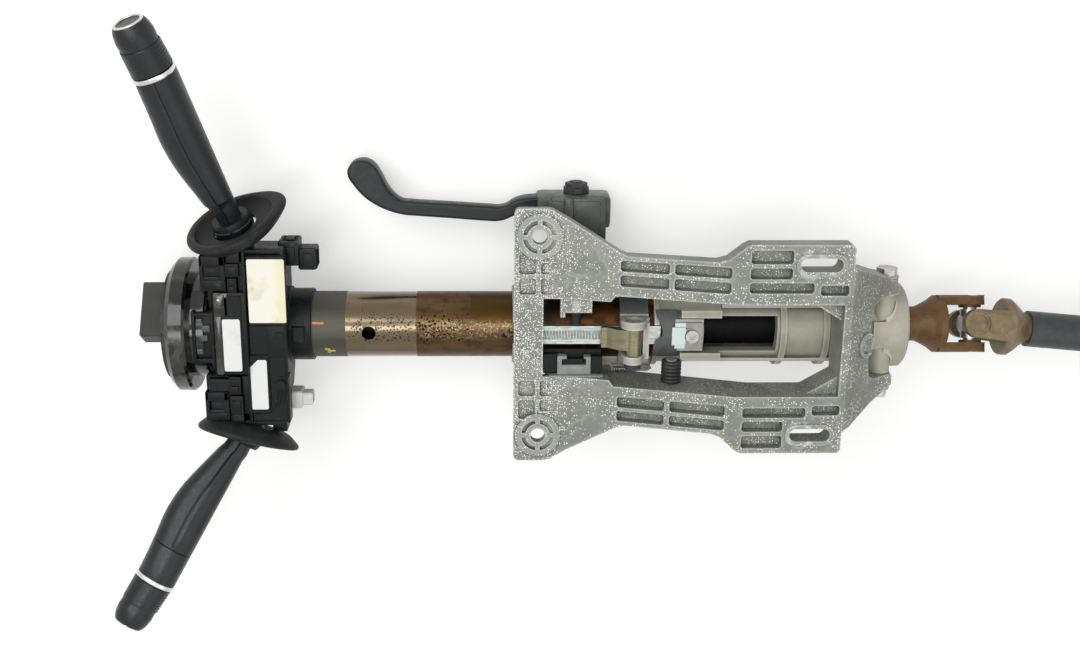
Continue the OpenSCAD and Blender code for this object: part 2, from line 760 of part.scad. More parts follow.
module right_switch_box() {
    color([0.06, 0.06, 0.06]) mirror([0, 1, 0]) switch_box(sensor_y + 2);
}

// Open dish that the stalk leaves through, drawn along X from the stalk's pivot
module boot() {
    lathe_x([[boot_hole_r, -7], [22.5, -7], [28, -1.5], [29, 0], [29, 3], [28.2, 3.8], [27, 3.6],
        [25.6, -0.4], [21.5, -4.8], [boot_hole_r, -4.8]]);
}

// Collar that holds the dish on its post
module boot_collar() {
    difference() {
        ycyl(boot_x, boot_z, cover_hw + 0.5, stalk_y - 9, boot_hole_r + 1.8);
        ycyl(boot_x, boot_z, cover_hw, stalk_y, post_r + seat_gap);
    }
}

module left_boot() {
    color([0.08, 0.08, 0.08]) {
        translate([boot_x, stalk_y, boot_z]) rotate([0, 0, 90 + left_boot_lean])
            rotate([0, -boot_rise, 0]) boot();
        boot_collar();
    }
}

module right_boot() {
    color([0.08, 0.08, 0.08]) {
        translate([boot_x, -stalk_y, boot_z]) rotate([0, 0, -90 - right_boot_lean])
            rotate([0, -boot_rise, 0]) boot();
        mirror([0, 1, 0]) boot_collar();
    }
}

// Box with a plug socket that is open towards the column
module socket(x0, x1, y0, y1, z0, z1) {
    difference() {
        cut_box(x0, x1, y0, y1, z0, z1, 1);
        block(x0 + socket_floor, x1 + 1, y0 + socket_wall, y1 - socket_wall, z0 + socket_wall,
            z1 - socket_wall);
    }
}

module harness_connector() {
    color([0.05, 0.05, 0.05]) {
        cut_box(carrier_x1, 104, 44.5, 60, 2, 20, 1);
        socket(103, 115, 41, 55, 4, 18);
    }
}

module white_connector() {
    color([0.85, 0.84, 0.8]) {
        cut_box(carrier_x1, 102.6, -52, -40.4, 6, 20, 1);
        socket(102, 109, -50.5, -42, 8, 18);
    }
}

module clock_spring_housing() {
    color([0.05, 0.05, 0.05]) difference() {
        union() {
            lathe_x([[15, disc_x], [disc_r - 3, disc_x], [disc_r, disc_x + 3], [disc_r, disc_x + 11],
                [disc_r - 1.5, disc_x + 12.5], [15, disc_x + 12.5]]);
            xcyl(disc_x + 12, carrier_x0, 34);
        }
        xcyl(0, 60, 15);
    }
}

module clock_spring_rotor() {
    color([0.07, 0.07, 0.07]) difference() {
        union() {
            xcyl(disc_x - 3.5, disc_x - face_gap, disc_r - 8);
            rotate([-34, 0, 0]) cut_box(5, disc_x - 2, -18, 18, 17, 32, 1);
            rotate([146, 0, 0]) cut_box(12, disc_x - 2, -8, 8, 20, 30, 1);
        }
        xcyl(0, 60, journal_r + seat_gap);
    }
}

module upper_spindle() {
    color([0.5, 0.5, 0.52]) difference() {
        lathe_x([[0, 0], [spline_d / 2, 0], [spline_d / 2, spline_len], [journal_r, spline_len],
            [journal_r, 80], [spindle_r, 84], [spindle_r, spindle_x1], [0, spindle_x1]]);
        translate([168, 0, 0]) rotate([0, 90, 0]) cylinder(r = hex_r + 0.3, h = 200, $fn = 6);
    }
}

module lower_spindle() {
    color([0.5, 0.5, 0.52]) {
        translate([hex_x0, 0, 0]) rotate([0, 90, 0]) cylinder(r = hex_r, h = 130, $fn = 6);
        lathe_x([[0, 350], [core_r - 1, 350], [core_r, 351], [core_r, sleeve_x1], [journal_r, sleeve_x1],
            [journal_r, cup_x1 + 2], [core_r, cup_x1 + 2], [core_r, cross_x - 28], [0, cross_x - 28]]);
    }
}

module spindle_sleeve() {
    color([0.04, 0.04, 0.04]) xring(sleeve_x0, sleeve_x1, 13, core_r + seat_gap);
}

// Forged fork with its bearing cups pressed in; the joint centre is at zero and the shank points to minus X
module yoke(shank_r, x0, bore_r) {
    difference() {
        union() {
            lathe_x([[0, x0], [shank_r - 0.8, x0], [shank_r, x0 + 0.8], [shank_r, -38],
                [shank_r + 1.5, -34.5], [yoke_w / 2 - 3, -29], [yoke_w / 2, -25], [yoke_w / 2, -21],
                [yoke_w / 2 - 1, -20], [0, -20]]);
            both_sides() intersection() {
                union() {
                    slab_y(yoke_gap / 2, yoke_w / 2, [[-24, -10.5], [-8, -9.5], [0, -9.5], [0, 9.5],
                        [-8, 9.5], [-24, 10.5]]);
                    ycyl(0, 0, yoke_gap / 2, yoke_w / 2, 9.5);
                }
                xcyl(-30, 12, yoke_w / 2 + 1);
            }
        }
        ycyl(0, 0, -30, 30, cup_r + seat_gap);
        translate([x0 - 1, 0, 0]) rotate([0, 90, 0]) cylinder(r = bore_r, h = -27 - x0 + 1, $fn = 64);
    }
}

module cups() {
    both_sides() difference() {
        ycyl(0, 0, 10.8, yoke_w / 2 - 0.6, cup_r);
        ycyl(0, 0, 10, 16.9, trunnion_r + run_gap);
        ycyl(0, 0, yoke_w / 2 - 1.4, 30, cup_r - 1.6);
    }
}

module cross_piece() {
    ycyl(0, 0, -16.6, 16.6, trunnion_r);
    zcyl(0, 0, -16.6, 16.6, trunnion_r);
    ycyl(0, 0, -9.6, 9.6, 6.2);
    zcyl(0, 0, -9.6, 9.6, 6.2);
    cut_box(-6.4, 6.4, -6.4, 6.4, -6.4, 6.4, 2);
}

module at_upper() {
    translate([cross_x, 0, 0]) rotate([joint_clock, 0, 0]) children();
}

module at_shaft() {
    at_upper() rotate([0, 0, -shaft_deg]) children();
}

module at_lower() {
    at_shaft() translate([joint_span, 0, 0]) rotate([0, 0, shaft_deg]) children();
}

module upper_yoke() {
    color([0.42, 0.33, 0.27]) at_upper() {
        yoke(11.5, shank_x, core_r + seat_gap);
        cups();
    }
}

module upper_cross() {
    color([0.5, 0.48, 0.45]) at_upper() cross_piece();
}

module shaft_yoke() {
    color([0.5, 0.43, 0.33]) at_shaft() rotate([90, 0, 0]) mirror([1, 0, 0]) {
        yoke(shaft_r - 2.4 - seat_gap, -48, 6);
        cups();
    }
}

module shaft_tube() {
    color([0.1, 0.1, 0.11]) at_shaft() difference() {
        union() {
            xcyl(38.5, 146, shaft_r);
            xcyl(138, 150, shaft_r + 1.2);
        }
        xcyl(30, 160, shaft_r - 2.4);
    }
}

// Hollow hexagon that slides in the shaft tube
module slip_shaft() {
    r = shaft_r - 2.4 - 0.1;
    end = joint_span - 28;
    color([0.5, 0.5, 0.52]) at_shaft() difference() {
        union() {
            translate([92, 0, 0]) rotate([0, 90, 0]) cylinder(r = r, h = end - 104, $fn = 6);
            xcyl(end - 18, end, 8);
        }
        xcyl(90, end + 1, slip_bore_r);
    }
}

module slip_yoke() {
    color([0.3, 0.27, 0.25]) at_shaft() translate([joint_span, 0, 0]) rotate([90, 0, 0]) {
        yoke(11.5, -39.5, 8 + seat_gap);
        cups();
    }
}

module lower_cross() {
    color([0.5, 0.48, 0.45]) at_lower() cross_piece();
}

module pinch_yoke() {
    color([0.32, 0.29, 0.27]) at_lower() mirror([1, 0, 0]) difference() {
        union() {
            yoke(14, -pinch_end, 1);
            cups();
            block(-pinch_bolt_x - 6, -pinch_bolt_x + 6, -9, 9, 8, 27);
        }
        xcyl(-pinch_end - 4, -pinch_end + pinch_depth, pinch_bore_d / 2);
        block(-pinch_end - 4, -36, -1.5, 1.5, 0, 40);
        ycyl(-pinch_bolt_x, 19, -20, 20, 4 + seat_gap);
    }
}

module pinch_bolt() {
    color([0.6, 0.6, 0.6]) at_lower() mirror([1, 0, 0]) {
        ycyl(-pinch_bolt_x, 19, -14, 10, 4);
        translate([-pinch_bolt_x, 14.6, 19]) rotate([90, 0, 0]) cylinder(r = 7, h = 5.6, $fn = 6);
        translate([-pinch_bolt_x, -9, 19]) rotate([90, 0, 0]) cylinder(r = 7, h = 5, $fn = 6);
    }
}

// Stalks are drawn along X from their pivot, then leaned and raised into place
module at_left() {
    translate([boot_x, stalk_y, boot_z]) rotate([0, 0, 90 + left_lean]) rotate([0, -stalk_rise, 0])
        children();
}

module at_right() {
    translate([boot_x, -stalk_y, boot_z]) rotate([0, 0, -90 - right_lean]) rotate([0, -stalk_rise, 0])
        children();
}

// Ball that tips in its post, with a bore for the end of the stalk
module gimbal() {
    difference() {
        lathe_x(concat([for (a = [-90:10:20]) [max(ball_r * cos(a), 0), ball_r * sin(a)]],
            [[11.5, 6], [0, 6]]));
        xcyl(-3, 10, 7 + run_gap + 0.3);
    }
}

module stalk() {
    lathe_x([[0, -2], [6.2, -2], [6.2, 6.6], [8.6, 8], [9.2, 20], [10.4, 44], [12.2, 66], [12.7, 88],
        [12.8, ring_s - 2], [12.2, ring_s], [13, ring_s], [13, knob_s], [5, knob_s], [5, cap_s - 6.2],
        [0, cap_s - 6.2]]);
}

// Knob with cross grooves on its far side; side is 1 on the left
module knob(side) {
    x0 = knob_s + 0.4;
    difference() {
        lathe_x([[5 + run_gap, x0], [12.4, x0], [12.7, x0 + 1], [11.9, cap_s - 1], [11.4, cap_s - 0.4],
            [5 + run_gap, cap_s - 0.4]]);
        for (i = [0:5]) translate([0, -side * 12, 0]) xcyl(x0 + 2.4 + i * 2.1, x0 + 3.4 + i * 2.1, 3.6);
    }
}

module button() {
    x0 = cap_s + 2.2;
    stem = 5 + run_gap - slide_gap;
    lathe_x([[0, cap_s - 3.4], [stem, cap_s - 3.4], [stem, x0], [11.2, x0], [11.4, x0 + 1],
        [9.6, stalk_len - 2.4], [8.7, stalk_len], [0, stalk_len]]);
}

module left_gimbal() {
    color([0.07, 0.07, 0.07]) at_left() gimbal();
}

module left_stalk() {
    color([0.06, 0.06, 0.06]) at_left() stalk();
}

module left_knob() {
    color([0.05, 0.05, 0.05]) at_left() knob(1);
}

module left_button() {
    color([0.06, 0.06, 0.06]) at_left() button();
}

module right_gimbal() {
    color([0.07, 0.07, 0.07]) at_right() gimbal();
}

module right_stalk() {
    color([0.06, 0.06, 0.06]) at_right() stalk();
}

module right_knob() {
    color([0.05, 0.05, 0.05]) at_right() knob(-1);
}

module right_button() {
    color([0.06, 0.06, 0.06]) at_right() button();
}

mounting_bracket();
rake_pivot_bolts();
rake_stop_pin();
balance_spring();
harness_clip();
clip_insert();
guide_housing();
guide_bush();
slot_plate();
travel_stop();
stop_screw();
pawl_bracket();
pawl_pin();
lower_bearing_outer();
end_bush();
clamp_bolt();
clamp_nut();
fixed_cam();
lever_cam();
clamp_lever();
lock_pawl();
jacket_tube();
rack_strip();
tube_collar();
upper_bearing_outer();
switch_carrier();
module_cover();
module_screws();
angle_sensor();
left_switch_box();
right_switch_box();
left_boot();
right_boot();
harness_connector();
white_connector();
clock_spring_housing();
clock_spring_rotor();
upper_bearing_inner();
upper_spindle();
lower_spindle();
spindle_sleeve();
lower_bearing_inner();
upper_yoke();
upper_cross();
shaft_yoke();
shaft_tube();
slip_shaft();
slip_yoke();
lower_cross();
pinch_yoke();
pinch_bolt();
left_gimbal();
left_stalk();
left_knob();
left_button();
right_gimbal();
right_stalk();
right_knob();
right_button();
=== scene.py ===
"""Looks of a rake and reach adjustable steering column, built around its CAD frame.

Lengths in this script are millimetres in the frame of the part, turned into metres by MM.
"""

import math

import bmesh
import bpy
from mathutils import Matrix, Vector


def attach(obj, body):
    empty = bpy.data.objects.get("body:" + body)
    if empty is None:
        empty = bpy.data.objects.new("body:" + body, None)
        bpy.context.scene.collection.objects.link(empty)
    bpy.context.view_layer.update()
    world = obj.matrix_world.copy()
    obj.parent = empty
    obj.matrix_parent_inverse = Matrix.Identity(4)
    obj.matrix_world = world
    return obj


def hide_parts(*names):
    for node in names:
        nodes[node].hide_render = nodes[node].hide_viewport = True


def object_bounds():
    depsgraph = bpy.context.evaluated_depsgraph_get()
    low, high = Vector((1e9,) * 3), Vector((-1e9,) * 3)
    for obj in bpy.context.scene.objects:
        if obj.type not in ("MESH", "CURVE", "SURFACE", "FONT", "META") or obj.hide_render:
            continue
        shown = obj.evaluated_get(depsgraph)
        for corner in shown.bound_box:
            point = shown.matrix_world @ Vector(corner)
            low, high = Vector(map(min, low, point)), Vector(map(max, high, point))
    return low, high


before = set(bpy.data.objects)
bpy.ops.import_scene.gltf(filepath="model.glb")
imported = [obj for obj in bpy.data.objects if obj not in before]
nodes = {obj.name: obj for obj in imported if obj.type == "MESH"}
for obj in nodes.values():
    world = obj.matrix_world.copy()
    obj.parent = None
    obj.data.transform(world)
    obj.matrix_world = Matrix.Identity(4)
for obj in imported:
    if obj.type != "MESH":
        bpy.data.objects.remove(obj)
cad_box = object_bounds()
MM = 0.001


# Small helpers for colours and materials

def srgb(red, green, blue):
    """A colour given as 0 to 255 screen values, as the linear colour that shaders take."""
    def line(value):
        share = value / 255
        return share / 12.92 if share <= 0.04045 else ((share + 0.055) / 1.055) ** 2.4
    return (line(red), line(green), line(blue), 1.0)


class Look:
    """A procedural material, put together a node at a time round one Principled shader."""

    def __init__(self, name, colour, rough, metal=0.0, specular=0.5):
        self.material = bpy.data.materials.new(name)
        self.material.use_nodes = True
        self.tree = self.material.node_tree
        self.shader = self.tree.nodes["Principled BSDF"]
        coordinates = self.tree.nodes.new("ShaderNodeTexCoord")
        self.place = coordinates.outputs["Object"]
        self.facing = coordinates.outputs["Normal"]
        self.height = None
        self.set(self.shader.inputs["Base Color"], colour)
        self.set(self.shader.inputs["Roughness"], rough)
        self.set(self.shader.inputs["Metallic"], metal)
        self.set(self.shader.inputs["Specular IOR Level"], specular)

    def set(self, socket, value):
        if isinstance(value, bpy.types.NodeSocket):
            self.tree.links.new(value, socket)
        else:
            socket.default_value = value

    def colour(self, value):
        self.set(self.shader.inputs["Base Color"], value)

    def rough(self, value):
        self.set(self.shader.inputs["Roughness"], value)

    def stretched(self, x, y, z):
        mapping = self.tree.nodes.new("ShaderNodeMapping")
        mapping.inputs["Scale"].default_value = (x, y, z)
        self.set(mapping.inputs["Vector"], self.place)
        return mapping.outputs["Vector"]

    def noise(self, size, detail=4.0, rough=0.55, place=None, warp=0.0):
        """Cloudy noise whose blots are about size millimetres across."""
        node = self.tree.nodes.new("ShaderNodeTexNoise")
        node.inputs["Scale"].default_value = 1 / (size * MM)
        node.inputs["Detail"].default_value = detail
        node.inputs["Roughness"].default_value = rough
        node.inputs["Distortion"].default_value = warp
        self.set(node.inputs["Vector"], place or self.place)
        return node.outputs["Fac"]

    def cells(self, size, flat=False):
        """Distance to the nearest of scattered points, and a random value of that point."""
        node = self.tree.nodes.new("ShaderNodeTexVoronoi")
        node.voronoi_dimensions = "2D" if flat else "3D"
        node.inputs["Scale"].default_value = 1 / (size * MM)
        self.set(node.inputs["Vector"], self.place)
        split = self.tree.nodes.new("ShaderNodeSeparateColor")
        self.set(split.inputs["Color"], node.outputs["Color"])
        return node.outputs["Distance"], split.outputs["Red"]

    def dots(self, size, edge, soft, amount, flat=False):
        """Round dots on a share of scattered points; the share is a number or a mask."""
        distance, luck = self.cells(size, flat)
        limit = 1 - amount if isinstance(amount, float) else self.sums("SUBTRACT", 1.0, amount)
        return self.times(self.fall(distance, edge - soft, edge), self.sums("GREATER_THAN", luck, limit))

    def span(self, value, low, high, out_low=0.0, out_high=1.0):
        node = self.tree.nodes.new("ShaderNodeMapRange")
        node.interpolation_type = "SMOOTHSTEP"
        self.set(node.inputs["Value"], value)
        node.inputs["From Min"].default_value = low
        node.inputs["From Max"].default_value = high
        node.inputs["To Min"].default_value = out_low
        node.inputs["To Max"].default_value = out_high
        return node.outputs["Result"]

    def sums(self, operation, first, second=0.0):
        node = self.tree.nodes.new("ShaderNodeMath")
        node.operation = operation
        self.set(node.inputs[0], first)
        self.set(node.inputs[1], second)
        return node.outputs["Value"]

    def times(self, first, *others):
        for other in others:
            first = self.sums("MULTIPLY", first, other)
        return first

    def most(self, first, second):
        return self.sums("MAXIMUM", first, second)

    def fall(self, value, low, high):
        """1 up to low, and 0 from high on."""
        return self.span(value, low, high, 1.0, 0.0)

    def mix(self, share, first, second):
        node = self.tree.nodes.new("ShaderNodeMix")
        node.data_type = "RGBA"
        self.set(node.inputs["Factor"], share)
        self.set(node.inputs[6], first)
        self.set(node.inputs[7], second)
        return node.outputs[2]

    def over(self, tone, mask, share, colour):
        """Lays a colour over a tone where a mask is 1, at a share of its strength."""
        return self.mix(self.times(mask, share), tone, colour)

    def axis(self, source, letter):
        node = self.tree.nodes.new("ShaderNodeSeparateXYZ")
        self.set(node.inputs["Vector"], source)
        return node.outputs[letter]

    def occlusion(self, reach, inside):
        node = self.tree.nodes.new("ShaderNodeAmbientOcclusion")
        node.samples = 6
        node.inside = inside
        node.only_local = True
        node.inputs["Distance"].default_value = reach * MM
        return node.outputs["AO"]

    def crevice(self, reach):
        """1 in the open, less in corners and pockets within reach millimetres."""
        return self.occlusion(reach, False)

    def edge_wear_and_highlight(self, reach):
        """Near 1 on outer edges, 0 on faces more than reach millimetres from one."""
        return self.fall(self.occlusion(reach, True), 0.55, 0.95)

    def within(self, letter, low, high, soft):
        """1 where a coordinate lies between two places in millimetres, with soft ends."""
        value = self.axis(self.place, letter)
        rise = self.span(value, (low - soft) * MM, low * MM)
        return self.times(rise, self.fall(value, high * MM, (high + soft) * MM))

    def round_off(self, x, y):
        """Distance from two upright lines that stand at X and at plus and minus Y, in metres."""
        aside = self.sums("SUBTRACT", self.axis(self.place, "X"), x * MM)
        across = self.sums("SUBTRACT", self.sums("ABSOLUTE", self.axis(self.place, "Y")), y * MM)
        return self.sums("SQRT", self.sums("ADD", self.times(aside, aside), self.times(across, across)))

    def bump(self, height, depth, strength=1.0):
        """Adds relief of about depth millimetres to what is there already."""
        node = self.tree.nodes.new("ShaderNodeBump")
        node.inputs["Strength"].default_value = strength
        node.inputs["Distance"].default_value = depth * MM
        self.set(node.inputs["Height"], height)
        if self.height is not None:
            self.set(node.inputs["Normal"], self.height)
        self.height = node.outputs["Normal"]
        self.set(self.shader.inputs["Normal"], self.height)


# Materials

FRONT_HOLE_X = 255.3
FRONT_HOLE_Y = 66
SLOT_END_X = 420.1
SLOT_END_Y = 55.5
STRIP_END_X = 254
STRIP_FADE_X = 290
WORKED_END_X = 132.2
CLEAN_END_X = 177


def corroded(look, tone, pocket):
    """Haze, rubbed rims and white salt, mostly on the faces of the bracket that look up, with a painted
    shadow ring round the front hole boss and painted glints on inner walls.
    """
    upward = look.span(look.axis(look.facing, "Z"), 0.5, 0.85)
    haze = look.span(look.noise(12, 6, 0.65, warp=2.0), 0.5, 0.68)
    tone = look.over(tone, look.times(haze, upward), 0.35, srgb(178, 179, 169))
    hole = look.round_off(FRONT_HOLE_X, FRONT_HOLE_Y)
    pad = look.fall(hole, 13.2 * MM, 14.4 * MM)
    # Painted shadow: a dark ring round the foot of the raised boss at the front hole.
    foot = look.times(look.span(hole, 13.8 * MM, 14.6 * MM), look.fall(hole, 14.8 * MM, 16.6 * MM))
    tone = look.over(tone, look.times(pad, upward), 0.3, srgb(182, 184, 178))
    tone = look.over(tone, look.times(foot, upward), 0.55, srgb(84, 87, 84))
    slot = look.round_off(SLOT_END_X, SLOT_END_Y)
    rim = look.times(look.span(slot, 5.5 * MM, 6.5 * MM), look.fall(slot, 8 * MM, 10.5 * MM))
    rubbed = look.times(rim, upward, look.span(look.noise(5, 4), 0.36, 0.56))
    tone = look.over(tone, rubbed, 0.5, srgb(206, 208, 206))
    patch = look.span(look.noise(20, 3), 0.36, 0.6)
    strip = look.fall(look.axis(look.place, "X"), STRIP_END_X * MM, STRIP_FADE_X * MM)
    thick = look.times(strip, look.span(patch, 0.0, 1.0, 0.4, 0.8))
    dense = look.most(look.times(patch, 0.36), thick)
    dense = look.times(dense, look.span(pocket, 0.2, 0.7, 1.0, 0.35), look.span(pad, 0.0, 1.0, 1.0, 0.25))
    salt_and_glints = look.dots(1.5, 0.33, 0.12, look.times(dense, 0.8), flat=True)
    salt_and_glints = look.most(salt_and_glints, look.dots(1.0, 0.35, 0.12, look.times(dense, 0.5), flat=True))
    salt_and_glints = look.most(salt_and_glints, look.dots(0.8, 0.3, 0.12, look.times(pocket, 0.3), flat=True))
    # Painted glints: white dots on inner walls that face +Y, joined to the salt below.
    inner = look.times(look.span(look.axis(look.facing, "Y"), 0.5, 0.8), look.within("Y", -70, -20, 2))
    glint = look.times(look.dots(1.1, 0.42, 0.12, 0.24), inner, 0.6)
    salt_and_glints = look.most(look.times(salt_and_glints, upward), glint)
    look.bump(salt_and_glints, 0.3, 0.8)
    return look.mix(salt_and_glints, tone, srgb(244, 245, 240))


def cast_metal(name, grey, light, coarse, salted=False, shaded=None):
    """Cast aluminium: cloudy grey, with painted shade in its pockets, a painted highlight on its edges that
    is partly edge wear, and a painted shade band across Y where one is given.
    """
    look = Look(name, grey, 0.6, metal=0.2, specular=0.35)
    cloud = look.noise(26, 5)
    stain = look.noise(9, 4, warp=1.5)
    grain = look.noise(0.8, 3, 0.7)
    pocket = look.fall(look.crevice(7), 0.3, 0.85)
    tone = look.mix(look.span(cloud, 0.35, 0.68), grey, light)
    tone = look.over(tone, look.span(stain, 0.5, 0.72), 0.7 * coarse, srgb(108, 110, 102))
    tone = look.over(tone, look.fall(grain, 0.42, 0.62), 0.5 * coarse, srgb(90, 92, 88))
    tone = look.over(tone, look.span(grain, 0.52, 0.74), 0.5 * coarse, srgb(204, 205, 198))
    # Painted shade: bluish dark grey in pockets and corners, taken from ambient occlusion.
    tone = look.over(tone, pocket, 0.45, srgb(78, 84, 89))
    # Painted highlight, partly edge wear: pale grey along outer edges.
    tone = look.over(tone, look.edge_wear_and_highlight(1.6), 0.45, srgb(206, 208, 202))
    if shaded:
        tone = look.over(tone, look.within("Y", *shaded, 1.0), 0.9, srgb(58, 64, 66))
    if salted:
        tone = corroded(look, tone, pocket)
    look.colour(tone)
    look.rough(look.span(grain, 0.3, 0.7, 0.46, 0.66))
    look.bump(grain, 0.12 * coarse, 0.7)
    look.bump(cloud, 0.5, 0.25)
    return look.material


def rusted_tube():
    """Drawn steel tube: dull grey by the collar, polished with dark pits up to a line, then brown rust;
    painted shade on its -Y flank and inside the bracket, and painted highlight specks along its top.
    """
    look = Look("rusted_tube", srgb(90, 78, 60), 0.2, metal=0.9)
    look.shader.inputs["Coat Roughness"].default_value = 0.14
    along = look.axis(look.place, "X")
    upper = look.sums("GREATER_THAN", look.axis(look.facing, "Z"), 0.0)
    streaks = look.noise(14, 5, place=look.stretched(0.25, 1.6, 1.6))
    blots = look.noise(9, 6, 0.65)
    ragged = look.sums("ADD", along, look.times(look.noise(5, 3), 1.2 * MM))
    worked = look.fall(ragged, WORKED_END_X * MM, (WORKED_END_X + 0.4) * MM)
    clean = look.fall(ragged, CLEAN_END_X * MM, (CLEAN_END_X + 1) * MM)
    dull = look.fall(clean, 0.0, 1.0)

    brown = look.mix(look.span(streaks, 0.3, 0.7), srgb(64, 46, 28), srgb(98, 78, 51))
    brown = look.over(brown, look.span(blots, 0.48, 0.68), 0.65, srgb(52, 34, 18))
    brown = look.over(brown, clean, 0.5, srgb(118, 105, 80))
    # Painted shade: darker brown along the -Y flank of the upper half.
    brown = look.over(brown, look.times(look.within("Y", -30, -13, 5), upper), 0.45, srgb(56, 40, 24))
    film = look.times(look.within("X", 212, 250, 0.4), look.within("Y", 6.5, 21, 0.3), upper)
    brown = look.over(brown, film, 0.8, srgb(68, 50, 15))
    # Painted highlight: pale beige specks along the top band where the lamp reflection runs, past the
    # polished zone.
    band = look.times(look.within("Y", -1, 5, 5), look.within("X", 184, 246, 8), upper)
    highlight_sparkles = look.span(look.noise(1.3, 3, 0.7), 0.52, 0.62)
    brown = look.over(brown, look.times(band, highlight_sparkles), 0.55, srgb(160, 148, 124))
    scab = look.times(look.within("X", 232, 238, 4), look.within("Y", -2, 2, 3), upper)
    brown = look.over(brown, scab, look.span(look.noise(2.4, 4, 0.7), 0.46, 0.56), srgb(40, 24, 12))

    top = look.times(look.within("Y", -2, 8, 6), look.within("X", 148, 196, 22))
    pits = look.dots(2.5, 0.38, 0.14, top)
    pits = look.most(pits, look.dots(1.6, 0.38, 0.14, look.times(top, 0.9)))
    pits = look.times(pits, upper, look.span(look.noise(13, 3), 0.3, 0.42))
    brown = look.mix(pits, brown, srgb(36, 22, 12))

    # Painted shade: dark brown from X 255 mm on, where the tube runs into the bracket; rust is laid over it.
    brown = look.mix(look.span(along, 255 * MM, 262 * MM), brown, srgb(40, 28, 18))
    rust = look.times(look.span(along, 262 * MM, 280 * MM), look.span(blots, 0.36, 0.58))
    brown = look.over(brown, rust, 0.7, srgb(96, 56, 24))
    grey = look.mix(look.span(streaks, 0.3, 0.7), srgb(58, 57, 48), srgb(74, 72, 61))
    look.colour(look.mix(worked, brown, grey))

    satin = look.sums("ADD", look.span(blots, 0.3, 0.7, 0.15, 0.21), look.times(dull, 0.2))
    satin = look.most(satin, look.span(along, 250 * MM, 260 * MM, 0.0, 0.5))
    satin = look.most(satin, look.times(worked, 0.55))
    look.rough(look.most(satin, look.times(pits, 0.7)))
    look.set(look.shader.inputs["Metallic"], look.span(worked, 0.0, 1.0, 0.9, 0.25))
    look.set(look.shader.inputs["Coat Weight"], look.span(look.most(worked, dull), 0.0, 1.0, 0.6, 0.0))
    look.bump(pits, 0.15, 0.5)
    look.bump(look.times(look.noise(0.9, 3), dull), 0.06, 0.5)
    return look.material


def spindle():
    """Turned steel, bright at the wheel end and near black from about X 55 mm on, inside the tube."""
    look = Look("spindle_shaft", srgb(150, 150, 148), 0.34, metal=0.9)
    turned = look.noise(0.8, 3, place=look.stretched(1.0, 0.2, 0.2))
    bright = look.mix(look.span(turned, 0.3, 0.7), srgb(142, 142, 140), srgb(180, 180, 176))
    inside = look.span(look.axis(look.place, "X"), 50 * MM, 60 * MM)
    look.colour(look.mix(inside, bright, srgb(14, 14, 13)))
    look.rough(look.span(turned, 0.3, 0.7, 0.3, 0.5))
    look.bump(turned, 0.03, 0.4)
    return look.material


def pale_nosed():
    """Grey casting whose nose, where the rack lands, is wiped pale."""
    look = Look("pale_nosed_stop", srgb(138, 140, 132), 0.5, metal=0.3)
    cloud = look.noise(6, 4)
    body = look.mix(look.span(cloud, 0.35, 0.65), srgb(130, 132, 124), srgb(152, 154, 146))
    nose = look.within("X", 330, 349.4, 0.8)
    look.colour(look.mix(nose, body, srgb(196, 206, 204)))
    look.rough(look.span(cloud, 0.3, 0.7, 0.4, 0.56))
    look.bump(look.noise(0.8, 3), 0.05, 0.5)
    return look.material


def moulded(name, dark, pale, rough, specular=0.4, grain=0.5, dust=0.25):
    """Moulded plastic or rubber with a fine grain, faint dust and worn sheen."""
    look = Look(name, dark, rough, specular=specular)
    cloud = look.noise(30, 4)
    powder = look.noise(3.2, 5, 0.7)
    tone = look.mix(look.span(cloud, 0.35, 0.7), dark, pale)
    look.colour(look.over(tone, look.span(powder, 0.56, 0.78), dust, srgb(112, 112, 106)))
    look.rough(look.span(powder, 0.3, 0.7, rough - 0.08, rough + 0.1))
    look.bump(look.noise(grain, 2), 0.05, 0.5)
    return look.material


def glossy_black():
    look = Look("gloss_black", srgb(16, 17, 18), 0.16, specular=0.5)
    smear = look.noise(16, 5, 0.65, warp=0.8)
    look.colour(look.mix(look.span(smear, 0.42, 0.75), srgb(19, 19, 19), srgb(76, 74, 69)))
    look.rough(look.span(smear, 0.35, 0.75, 0.07, 0.24))
    look.bump(look.noise(25, 2), 0.3, 0.15)
    return look.material


def plated(name, colour, light, rough, metal=0.9, grain=1.2):
    """Plated or bare steel with faint brushing and tarnish."""
    look = Look(name, colour, rough, metal=metal)
    brushed = look.noise(grain, 3, place=look.stretched(0.2, 1.0, 1.0))
    tarnish = look.noise(5, 5, 0.6)
    tone = look.mix(look.span(brushed, 0.3, 0.7), colour, light)
    look.colour(look.over(tone, look.span(tarnish, 0.55, 0.75), 0.35, srgb(86, 82, 74)))
    look.rough(look.span(tarnish, 0.3, 0.75, rough - 0.06, rough + 0.14))
    look.bump(brushed, 0.03, 0.4)
    return look.material


def weathered(name, colour, light, spot, rough, metal=0.35):
    """Forged or painted steel with broad stains and small spots."""
    look = Look(name, colour, rough, metal=metal, specular=0.35)
    stain = look.noise(8, 6, 0.6, warp=0.6)
    speck = look.noise(1.3, 4, 0.7)
    tone = look.mix(look.span(stain, 0.35, 0.68), colour, light)
    look.colour(look.over(tone, look.span(speck, 0.58, 0.72), 0.6, spot))
    look.rough(look.span(stain, 0.3, 0.7, rough - 0.08, rough + 0.12))
    look.bump(speck, 0.1, 0.5)
    look.bump(stain, 0.3, 0.2)
    return look.material


def paint(name, colour):
    look = Look(name, colour, 0.5)
    patch = look.noise(1.5, 4)
    look.colour(look.mix(look.span(patch, 0.4, 0.7), colour, srgb(170, 120, 80)))
    look.bump(patch, 0.08, 0.5)
    return look.material


